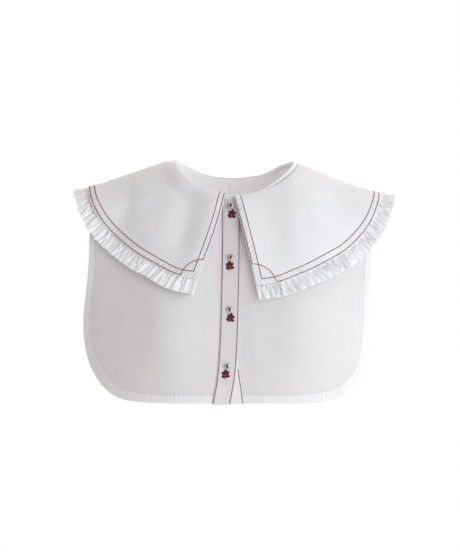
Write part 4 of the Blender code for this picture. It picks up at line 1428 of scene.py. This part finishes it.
# %% Frill measures and relief
FRILL_WIDTH = {RIGHT: (20.6, 15.4), LEFT: (19.0, 15.8)}  # at the point, and from the side of the bib on
FRILL_NARROWS = 0.14  # share of the way from the point to the centre back by which it has narrowed
FRILL_SHOULDER = 3.6  # wider again over the shoulder
FRILL_START = -1.0  # under the collar's edge
FRILL_FLARE, FRILL_FLARE_SHARE = -3.4, 0.07  # it droops over the shoulder, and over what share of it
FRILL_RISE = 2.4  # how far the free edge stands out from the bib
FRILL_PUFF = 1.5  # by which it swells up just past the seam
FRILL_WALL = 0.4  # drawn thinner than the panels, so that its creases can be sharp
FRILL_HEM = 1.8
GATHER = 1.395  # millimetres of weave that are laid on each millimetre of seam
LOBE_PITCH = {RIGHT: 9.5, LEFT: 11.0}
LOBE_HEIGHT = {RIGHT: 4.3, LEFT: 6.2}
LOBE_SEED = {RIGHT: 91, LEFT: 97}
LOBE_ROUNDING = 0.7  # power that makes a lobe fuller than a plain wave
CREASE_PITCH = {RIGHT: 3.7, LEFT: 3.5}
CREASE_HEIGHT = {RIGHT: (0.8, 2.9), LEFT: (1.4, 4.4)}
CREASE_REACH = 14.0  # along the seam, beyond which a crease is nothing
GATHER_PITCH = 3.2  # the gathering stitches, which pinch the cloth at the seam


def frill_lobes(side, s, d):
    """Lobes between slanted valleys, each steep on one flank and gently falling on the other."""
    rng = np.random.default_rng(LOBE_SEED[side])
    count = int(s.max() / LOBE_PITCH[side]) + 12
    marks = (np.cumsum(rng.uniform(0.5, 1.5, count)) - 4) * LOBE_PITCH[side]
    slants, bends = rng.normal(0, 2.8, count), rng.normal(0, 1.5, count)
    heights, floors = rng.uniform(0.55, 1.25, count), rng.uniform(0.0, 0.4, count)
    crests = rng.uniform(0.4, 0.8, count)
    lobes = np.zeros(s.shape)
    for row, down in enumerate(d[:, 0]):
        valleys = np.sort(marks + slants * (down - 0.4) + bends * np.sin(math.pi * down))
        k = np.clip(np.searchsorted(valleys, s[row]) - 1, 0, count - 2)
        share = np.clip((s[row] - valleys[k]) / np.maximum(valleys[k + 1] - valleys[k], 0.5), 0, 1)
        share = 1 - share if side == RIGHT else share
        lobes[row] = heights[k] * np.sin(math.pi * share ** crests[k]) ** LOBE_ROUNDING
        lobes[row] += np.interp(s[row], valleys, floors) * (1 - lobes[row])
    return lobes


def frill_relief(side, s, d):
    """Height of the gathers and lobes, for s along the seam and d across the frill from 0 to 1."""
    lobes = frill_lobes(side, s, d)
    relief = LOBE_HEIGHT[side] * (0.2 + 0.8 * soft_step(d / 0.7)) * (lobes - 0.25)
    rng = np.random.default_rng(LOBE_SEED[side] + 1)
    places = np.arange(-6.0, s.max() + 6.0, CREASE_PITCH[side])
    places = places + rng.uniform(-0.45, 0.45, len(places)) * CREASE_PITCH[side]
    for place in places:
        height, reach = rng.uniform(*CREASE_HEIGHT[side]), rng.uniform(0.4, 1.4)
        lit, steep = rng.uniform(0.9, 2.2), rng.uniform(0.6, 1.1)
        slant, bend = rng.normal(0, 3.6), rng.normal(0, 2.0)
        near = np.abs(s[0] - place) < CREASE_REACH
        across = d[:, near]
        aside = (s[:, near] - place - slant * across - bend * np.sin(math.pi * across)) * side
        width = np.where(aside > 0, lit, steep) * (0.8 + 0.6 * across)
        fade = (0.55 + 0.45 * soft_step(across / 0.2)) * (1 - soft_step((across / reach - 0.4) / 0.6))
        relief[:, near] += height * fade * (bell(aside / width) - 0.3)
    pinch = 0.5 + 0.5 * puckers(s, GATHER_PITCH, LOBE_SEED[side] + 2)
    relief += FRILL_PUFF * soft_step((d - 0.02) / 0.07) * (1 - soft_step((d - 0.16) / 0.45))
    relief -= 0.9 * pinch * bell((d - 0.13) / 0.06)
    return relief, lobes


# %% Make the frill
FRILL_COLUMNS = 1000  # cells of its grid along the seam, nearly two to a millimetre


def make_frill(side):
    """A frill half, from the collar's point round its outer edge to the centre back."""
    whole, shoulder_share = collar_outline(side)
    length = lengths_along(whole(np.linspace(0, 1, 1500)))[-1]
    share, d = np.meshgrid(np.linspace(0, 1, FRILL_COLUMNS + 1), stretches((0.3, 0.9), (8, 9, 4)))
    behind = 0.5 + (share - shoulder_share) / (1 - shoulder_share) / 2
    t = np.where(share < shoulder_share, share / shoulder_share / 2, behind)
    s = share * length
    relief, lobe = frill_relief(side, s, d)
    seam = whole(share)
    full, narrow = FRILL_WIDTH[side]
    width = full + (narrow - full) * soft_step(t / FRILL_NARROWS)
    width = width + FRILL_SHOULDER * bell((t - 0.5) / FRILL_FLARE_SHARE)
    away = FRILL_START + d * (width - FRILL_START) + 1.5 * (lobe - 0.6) * d**2
    chart = seam + outward(side, whole, share) * away[..., None]
    x, run = chart[..., 0], chart[..., 1]
    x = np.where(share == 1, CENTRE_BACK_X, x)
    flare = FRILL_FLARE * d * bell((t - 0.5) / FRILL_FLARE_SHARE) + FRILL_RISE * d**1.5
    ends = soft_step(s / 5.0)
    lift = collar_lift(side, t, np.ones_like(t)) + flare + relief * (0.35 + 0.65 * ends)
    _, (_, front) = wine_lines(side)
    for face in (FRONT, BACK):
        lift = lift + figure_lift(side, face, x, run)
    stand = collar_stand(side, beside(front[::2], x, run)[0], np.ones_like(t))
    run = np.where(t < 0.5, keep_height(x, run, stand), run)
    lift = lift + stand
    hem = soft_step((away - (width - FRILL_HEM - 1.2)) / 0.7)
    end_hem = 1 - soft_step((s - 3.2) / 0.7)
    wall = FRILL_WALL * (1 + 0.8 * np.maximum(hem, end_hem))
    uv = np.stack([s * GATHER * MM + 0.02, away * MM + 0.02], -1)
    name = f"frill_{SIDE_NAMES[side]}_half"
    print(f"{name}: gathered on a seam of {length:.0f} mm")
    return lay_cloth(name, x, run, lift, wall, (POPLIN_GATHERED_PAINTED_LIGHT,), uv=uv)


frills = {side: make_frill(side) for side in SIDES}

# %% [markdown]
# ## Buttons
# Four small two-hole shell buttons close the front. A shell button is turned on a lathe: a dished
# middle, a rounded rim and a slightly narrower back. It is sewn on with wine floss, in one upright bar
# between its holes, over a short wound shank that leaves room for the buttonhole's cloth. The mesh is
# turned from a profile too, and its holes are drilled by a Boolean modifier whose result is kept.

# %% Make the buttons
BUTTON_PROFILE = (  # radius, height above the placket
    (0.0, 3.9), (1.2, 3.88), (2.2, 3.76), (2.9, 3.58), (3.5, 3.34), (3.95, 3.08), (4.3, 2.78),
    (4.52, 2.45), (4.6, 2.15), (4.5, 1.9), (4.1, 1.75), (3.4, 1.66), (1.2, 1.6), (0.0, 1.6),
)
BUTTON_SEGMENTS = 64
HOLE_RADIUS, HOLE_OFFSET = 0.8, 2.25
HOLE_SEGMENTS = 24


def turned(name, profile, segments, material):
    """A closed solid turned from a profile that starts and ends on its axis."""
    angle = round_angles(segments)
    rings = np.array(profile[1:-1]) * MM
    points = [(r * math.cos(a), r * math.sin(a), z) for r, z in rings for a in angle]
    top, bottom = len(points), len(points) + 1
    points += [(0, 0, profile[0][1] * MM), (0, 0, profile[-1][1] * MM)]
    corner = np.arange(top).reshape(len(rings), segments)
    after = np.roll(corner, -1, axis=1)
    walls = swept_walls(corner)[:, [0, 3, 2, 1]].tolist()
    fans = [[top, int(a), int(b)] for a, b in zip(corner[0], after[0])]
    fans += [[bottom, int(b), int(a)] for a, b in zip(corner[-1], after[-1])]
    return new_piece(name, points, walls + fans, (material,))


def drill(button, centres):
    """Cuts the thread holes and leaves the result as plain mesh."""
    cutters = []
    rod = ((0, 6.0), (HOLE_RADIUS, 6.0), (HOLE_RADIUS, -1.0), (0, -1.0))
    for x, y in centres:
        cutter = turned("hole", rod, HOLE_SEGMENTS, SHELL)
        cutter.location = (x * MM, y * MM, 0)
        cut = button.modifiers.new("hole", "BOOLEAN")
        cut.object, cut.operation, cut.solver = cutter, "DIFFERENCE", "EXACT"
        cutters.append(cutter)
    bpy.context.view_layer.update()
    cut_button = button.evaluated_get(bpy.context.evaluated_depsgraph_get())
    drilled = bpy.data.meshes.new_from_object(cut_button)
    button.modifiers.clear()
    button.data = drilled
    for cutter in cutters:
        bpy.data.objects.remove(cutter, do_unlink=True)


def set_on_placket(piece, x, z, spin):
    """Turns a piece's own Z square to the placket and its Y up, and gives the matrix of that move."""
    run = float(run_at(x, z, FRONT))
    way = Vector(outward_way(x, run))
    seat = Vector(cloth_at(x, run, PLACKET_LIFT + PLACKET_WALL / 2))
    up = Vector((0, 0, 1))
    across = up.cross(way).normalized()
    up = way.cross(across)
    matrix = np.eye(4)
    sine, cosine = math.sin(spin), math.cos(spin)
    turn = np.array([[cosine, -sine, 0], [sine, cosine, 0], [0, 0, 1]])
    matrix[:3, :3] = np.array([across, up, way]).T @ turn
    matrix[:3, 3] = seat
    points = np.array([v.co for v in piece.data.vertices]) @ matrix[:3, :3].T + matrix[:3, 3]
    piece.data.vertices.foreach_set("co", points.reshape(-1))
    piece.data.update()
    return matrix


BUTTON_SPIN = (0.05, -0.09, 0.03, 0.12)  # radians by which each was sewn on askew
BAR_SPREAD = (-1.08, -0.72, -0.36, 0.0, 0.36, 0.72, 1.08)  # x of the bar's threads
BAR_SHARES = np.linspace(-1, 1, 7)  # places along the bar, from hole to hole
BAR_PINCH, BAR_REACH = 0.3, 1.15  # its threads draw together at the holes, and go down just past them
BAR_TOP, BAR_DROP = 4.1, 1.9
SHANK_RADIUS, SHANK_RINGS = 0.75, (0.15, 0.5, 0.85, 1.2, 1.5)  # heights above the placket
FLOSS_WIDTH, FLOSS_HEIGHT = 0.6, 0.5
buttons, button_threads = [], []
for number, (height, spin) in enumerate(zip(BUTTON_HEIGHTS, BUTTON_SPIN), start=1):
    button = turned(f"shell_button_{number}", BUTTON_PROFILE, BUTTON_SEGMENTS, SHELL)
    drill(button, ((0, HOLE_OFFSET), (0, -HOLE_OFFSET)))
    button.data.shade_smooth()
    button.data.set_sharp_from_angle(angle=math.radians(50))
    matrix = set_on_placket(button, float(placket_middle(-height)), height, spin)
    bars = [
        [
            (x * (1 - BAR_PINCH * abs(q)), q * HOLE_OFFSET * BAR_REACH, BAR_TOP - BAR_DROP * abs(q) ** 5)
            for q in BAR_SHARES
        ]
        for x in BAR_SPREAD
    ]
    ring = SHANK_RADIUS * np.exp(1j * np.linspace(0, 2 * math.pi, 17))
    shank = [[(place.real, place.imag, up) for place in ring] for up in SHANK_RINGS]
    for part, rows in (("bar", bars), ("shank", shank)):
        centres = np.array(rows) * MM
        ups = np.zeros_like(centres) + matrix[:3, 2]
        world = centres @ matrix[:3, :3].T + matrix[:3, 3]
        name = f"button_{number}_{part}_thread"
        button_threads.append(thread_tubes(name, world, ups, FLOSS_WIDTH, FLOSS_HEIGHT, WINE_FLOSS))
    buttons.append(button)
print(f"{len(buttons)} buttons, {len(button_threads)} thread pieces")

# %% [markdown]
# ## The small embroidered sprigs
# A little dark red sprig of five plain leaves is sewn into the top placket under each button, leaning
# to alternate sides. It is machine embroidery in satin stitch: floss laid side by side over a padded
# leaf, all at one slant. It could be painted into the cloth's material, but real floss stands up and
# catches light on the leaf's crown, so each thread is a tube of its own, laid on the placket by rays.

# %% Embroider the sprigs
SPRIG_LEAVES = (  # base x and y, heading in degrees from upright, length, width
    (0.0, 5.0, 0.0, 6.0, 4.3),
    (0.0, 4.2, 50.0, 5.8, 4.2),
    (0.0, 4.2, -50.0, 5.8, 4.2),
    (0.0, 1.6, 74.0, 5.3, 3.9),
    (0.0, 1.6, -74.0, 5.3, 3.9),
)
SPRIG_STEM = ((0.0, -1.2), (0.0, 1.6), (0.0, 4.2), (0.0, 5.4))
SPRIG_SCALE = 1.12
SPRIG_DROP = 16.0  # from a button's middle down to the foot of its sprig
SPRIG_SIDE, SPRIG_LEAN = 0.4, 9.0  # to alternate sides: millimetres, and degrees
SATIN_SPACING, SATIN_WIDTH, SATIN_HEIGHT = 0.4, 0.5, 0.42
SATIN_FROM, SATIN_TO = 0.08, 0.98  # shares of a leaf's length between which it is filled
SATIN_SLANT = 0.35
SATIN_BASE, SATIN_PAD, STEM_HEIGHT = 0.15, 0.55, 0.3  # heights above the cloth


def satin_leaf(base_x, base_y, heading, length, width):
    """Centre points, x and y on the sprig and height above the cloth, of one leaf's threads."""
    angle = math.radians(heading)
    way = np.array([math.sin(angle), math.cos(angle)])
    aside = np.array([way[1], -way[0]])
    place = np.arange(SATIN_FROM * length, SATIN_TO * length, SATIN_SPACING)
    half = width / 2 * np.sin(math.pi * (place / length) ** 0.9) ** 0.75
    q = np.array([-1.0, -0.6, 0.0, 0.6, 1.0])
    flat = (
        np.array([base_x, base_y])
        + place[:, None, None] * way
        + (q[None, :] * half[:, None])[..., None] * (aside + SATIN_SLANT * way)
    )
    height = SATIN_BASE + SATIN_PAD * (1 - q[None] ** 2) * half[:, None] / (width / 2)
    return np.concatenate([flat, np.broadcast_to(height, flat.shape[:2])[..., None]], -1)


def embroider(number, height):
    """The sprig under one button, whose threads are laid on the placket by rays."""
    hand = 1 if number % 2 else -1
    lean, shift = math.radians(SPRIG_LEAN) * hand, SPRIG_SIDE * hand
    rows = [satin_leaf(*leaf) for leaf in SPRIG_LEAVES]
    stem = np.array(SPRIG_STEM)
    for a, b in zip(stem[:-1], stem[1:]):
        q = np.linspace(-0.1, 1.1, 5)[:, None]
        flat = a + q * (b - a)
        rows.append(np.concatenate([flat, STEM_HEIGHT + 0.0 * q], -1)[None])
    local = np.concatenate(rows)
    turn = np.array([[math.cos(lean), math.sin(lean)], [-math.sin(lean), math.cos(lean)]])
    flat = local[..., :2] @ turn.T * SPRIG_SCALE
    z = height - SPRIG_DROP + flat[..., 1]
    x = placket_middle(-z) + shift + flat[..., 0]
    run = run_at(x, z, FRONT)
    ways = outward_way(x, run)
    starts = form(x, run) * MM + ways * RAY_START * MM
    centres = np.array([
        [top_tree.ray_cast(Vector(a), Vector(-w), RAY_LENGTH * MM)[0] for a, w in zip(row, way)]
        for row, way in zip(starts, ways)
    ])
    centres = centres + ways * local[..., 2:] * MM
    name = f"embroidered_sprig_{number}"
    print(f"{name}: {len(centres)} threads")
    return thread_tubes(name, centres, ways, SATIN_WIDTH, SATIN_HEIGHT, WINE_FLOSS)


sprigs = [embroider(number, height) for number, height in enumerate(BUTTON_HEIGHTS, start=1)]

# %% [markdown]
# ## What each piece stands for
# The garment is one body, so every piece rides on it. Each fine piece replaces the solid of the same
# cloth or button, and the threads are new detail on top.

# %% Ride and replace
def belongs(piece, slot=None, *solids):
    """Rides a piece on the garment and hides the solids that it replaces. The slot is not used; thread
    has no slot.
    """
    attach(piece, "root")
    if solids:
        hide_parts(*solids)


for (side, face), (piece, _) in panels.items():
    belongs(piece, "cotton_poplin", FACE_NAMES[face] + "_" + SIDE_NAMES[side])
    belongs(hem_threads[side, face])
for side in SIDES:
    name = SIDE_NAMES[side]
    belongs(collars[side], "cotton_poplin", "collar_" + name)
    belongs(frills[side], "cotton_poplin", "frill_" + name)
    belongs(collar_threads[side])
belongs(neck_band, "cotton_poplin", "neck_band")
for thread in band_threads:
    belongs(thread)
for piece, solid, threads in (
    (placket_top, "placket_top", [placket_thread, foot_thread]),
    (placket_under, "placket_under", [under_thread]),
):
    belongs(piece, "cotton_poplin", solid)
    for thread in threads:
        belongs(thread)
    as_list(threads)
for number, button in enumerate(buttons, start=1):
    belongs(button, "shell_button", f"button_{number}")
for thread in [*button_threads, *sprigs]:
    belongs(thread)

# %% [markdown]
# ## Floor and light
# The photograph has a plain white ground and very soft light. Its largest source is bright and cool, in
# front and to the viewer's right. A weaker one stands square to the side and grazes the frill's folds.
# The room fills the rest: the white wall behind the bib and the ceiling are the brightest parts of it,
# as smooth bands of the world's shader. A tiny lamp under the open hem stands in for the light that
# comes up inside the neck. The floor is pale and lies well below the bib, out of the front camera's
# sight, where it only sends light back up.

# %% Floor
FLOOR_Z, FLOOR_RADIUS, FLOOR_CORNERS = -0.70, 4.4, 96  # metres

FLOOR_PAINT, _ = principled(
    "matt_floor_paint", Base_Color=from_hex("#F1F1F1"), Roughness=0.9, Specular_IOR_Level=0.2
)
rim = [
    (FLOOR_RADIUS * math.cos(a), FLOOR_RADIUS * math.sin(a), FLOOR_Z)
    for a in round_angles(FLOOR_CORNERS)
]
floor = new_piece("floor", rim, [list(range(FLOOR_CORNERS))], (FLOOR_PAINT,))
floor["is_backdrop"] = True
print(f"floor {-FLOOR_Z:.2f} m below the origin")

# %% Light
FILL, BACKDROP, OVERHEAD = 0.25, 0.78, 0.42  # the room, and what the white wall and the ceiling add
KEY_WATTS, KEY_SIZE, KEY_DISTANCE = 39.0, 2.2, 2.6
KEY_AZIMUTH, KEY_HEIGHT = 36.0, 5.0  # degrees round from the camera to the viewer's right, and up
SIDE_WATTS, SIDE_AZIMUTH, SIDE_HEIGHT = 14.5, 90.0, 5.0  # a weaker one that grazes the frill
INSIDE_WATTS, INSIDE_SIZE, INSIDE_DISTANCE, INSIDE_SPREAD = 0.05, 0.12, 0.42, 44.0  # under the open hem
INSIDE_AZIMUTH, INSIDE_HEIGHT = 104.0, -72.0

world = bpy.data.worlds.new("studio")
bpy.context.scene.world = world
world.use_nodes = True
tree = world.node_tree
tree.nodes.clear()
seen = add(tree, "ShaderNodeLightPath").outputs["Is Camera Ray"]
heading = add(tree, "ShaderNodeTexCoord").outputs["Generated"]
ways = add(tree, "ShaderNodeSeparateXYZ", {"Vector": heading}).outputs
wall, ceiling = (
    add(
        tree, "ShaderNodeMapRange", {"Value": ways[axis]},
        {"From Min": start, "From Max": end, "To Min": 0.0, "To Max": strength},
        interpolation_type="SMOOTHSTEP",
    ).outputs["Result"]
    for axis, start, end, strength in (("Y", -0.1, 0.6, BACKDROP), ("Z", 0.2, 0.8, OVERHEAD))
)
room = add(tree, "ShaderNodeMath", {0: wall, 1: ceiling}, operation="ADD").outputs[0]
room = add(tree, "ShaderNodeMath", {0: room}, {1: FILL}, operation="ADD").outputs[0]
fill = add(tree, "ShaderNodeBackground", {"Strength": room}, {"Color": from_hex("#FFF8F6")})
white = add(tree, "ShaderNodeBackground", None, {"Color": (1, 1, 1, 1), "Strength": 1.0})
both = add(tree, "ShaderNodeMixShader", {0: seen, 1: fill.outputs[0], 2: white.outputs[0]})
add(tree, "ShaderNodeOutputWorld", {"Surface": both.outputs[0]})


def area_light(name, azimuth, height, distance, size, watts, colour):
    """A square light that looks at the middle of the bib."""
    a, e = math.radians(azimuth), math.radians(height)
    way = Vector((math.sin(a) * math.cos(e), -math.cos(a) * math.cos(e), math.sin(e)))
    data = bpy.data.lights.new(name, "AREA")
    data.shape, data.size, data.energy = "SQUARE", size, watts
    data.color = from_hex(colour)[:3]
    lamp = bpy.data.objects.new(name, data)
    lamp.location = Vector((0, 0, AIM[1] * MM)) + way * distance
    lamp.rotation_mode = "QUATERNION"
    lamp.rotation_quaternion = way.to_track_quat("Z", "Y")
    bpy.context.scene.collection.objects.link(lamp)
    return lamp


area_light("key", KEY_AZIMUTH, KEY_HEIGHT, KEY_DISTANCE, KEY_SIZE, KEY_WATTS, "#EAF5FF")
area_light("side", SIDE_AZIMUTH, SIDE_HEIGHT, KEY_DISTANCE, KEY_SIZE, SIDE_WATTS, "#FFFFFF")
inside = area_light(
    "inside_lamp", INSIDE_AZIMUTH, INSIDE_HEIGHT, INSIDE_DISTANCE, INSIDE_SIZE, INSIDE_WATTS, "#FFFAF6"
)
inside.data.spread = math.radians(INSIDE_SPREAD)
bpy.context.scene.view_settings.view_transform = "Standard"
bpy.context.scene.view_settings.look = "None"
print(f"fill {FILL}, key {KEY_WATTS} W")

# %% [markdown]
# ## The last measures
# Both boxes, the solids' and the fine model's, are kept and their sizes printed. The fine model has
# to stay in the solids' box but for the little that cloth may stand proud.

# %% Sizes and finish
seen_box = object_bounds()
sizes = {"cad": [list(corner) for corner in cad_box], "visual": [list(corner) for corner in seen_box]}
for name, (low, high) in sizes.items():
    print(name, "box, mm:", [round((b - a) * 1000, 1) for a, b in zip(low, high)])
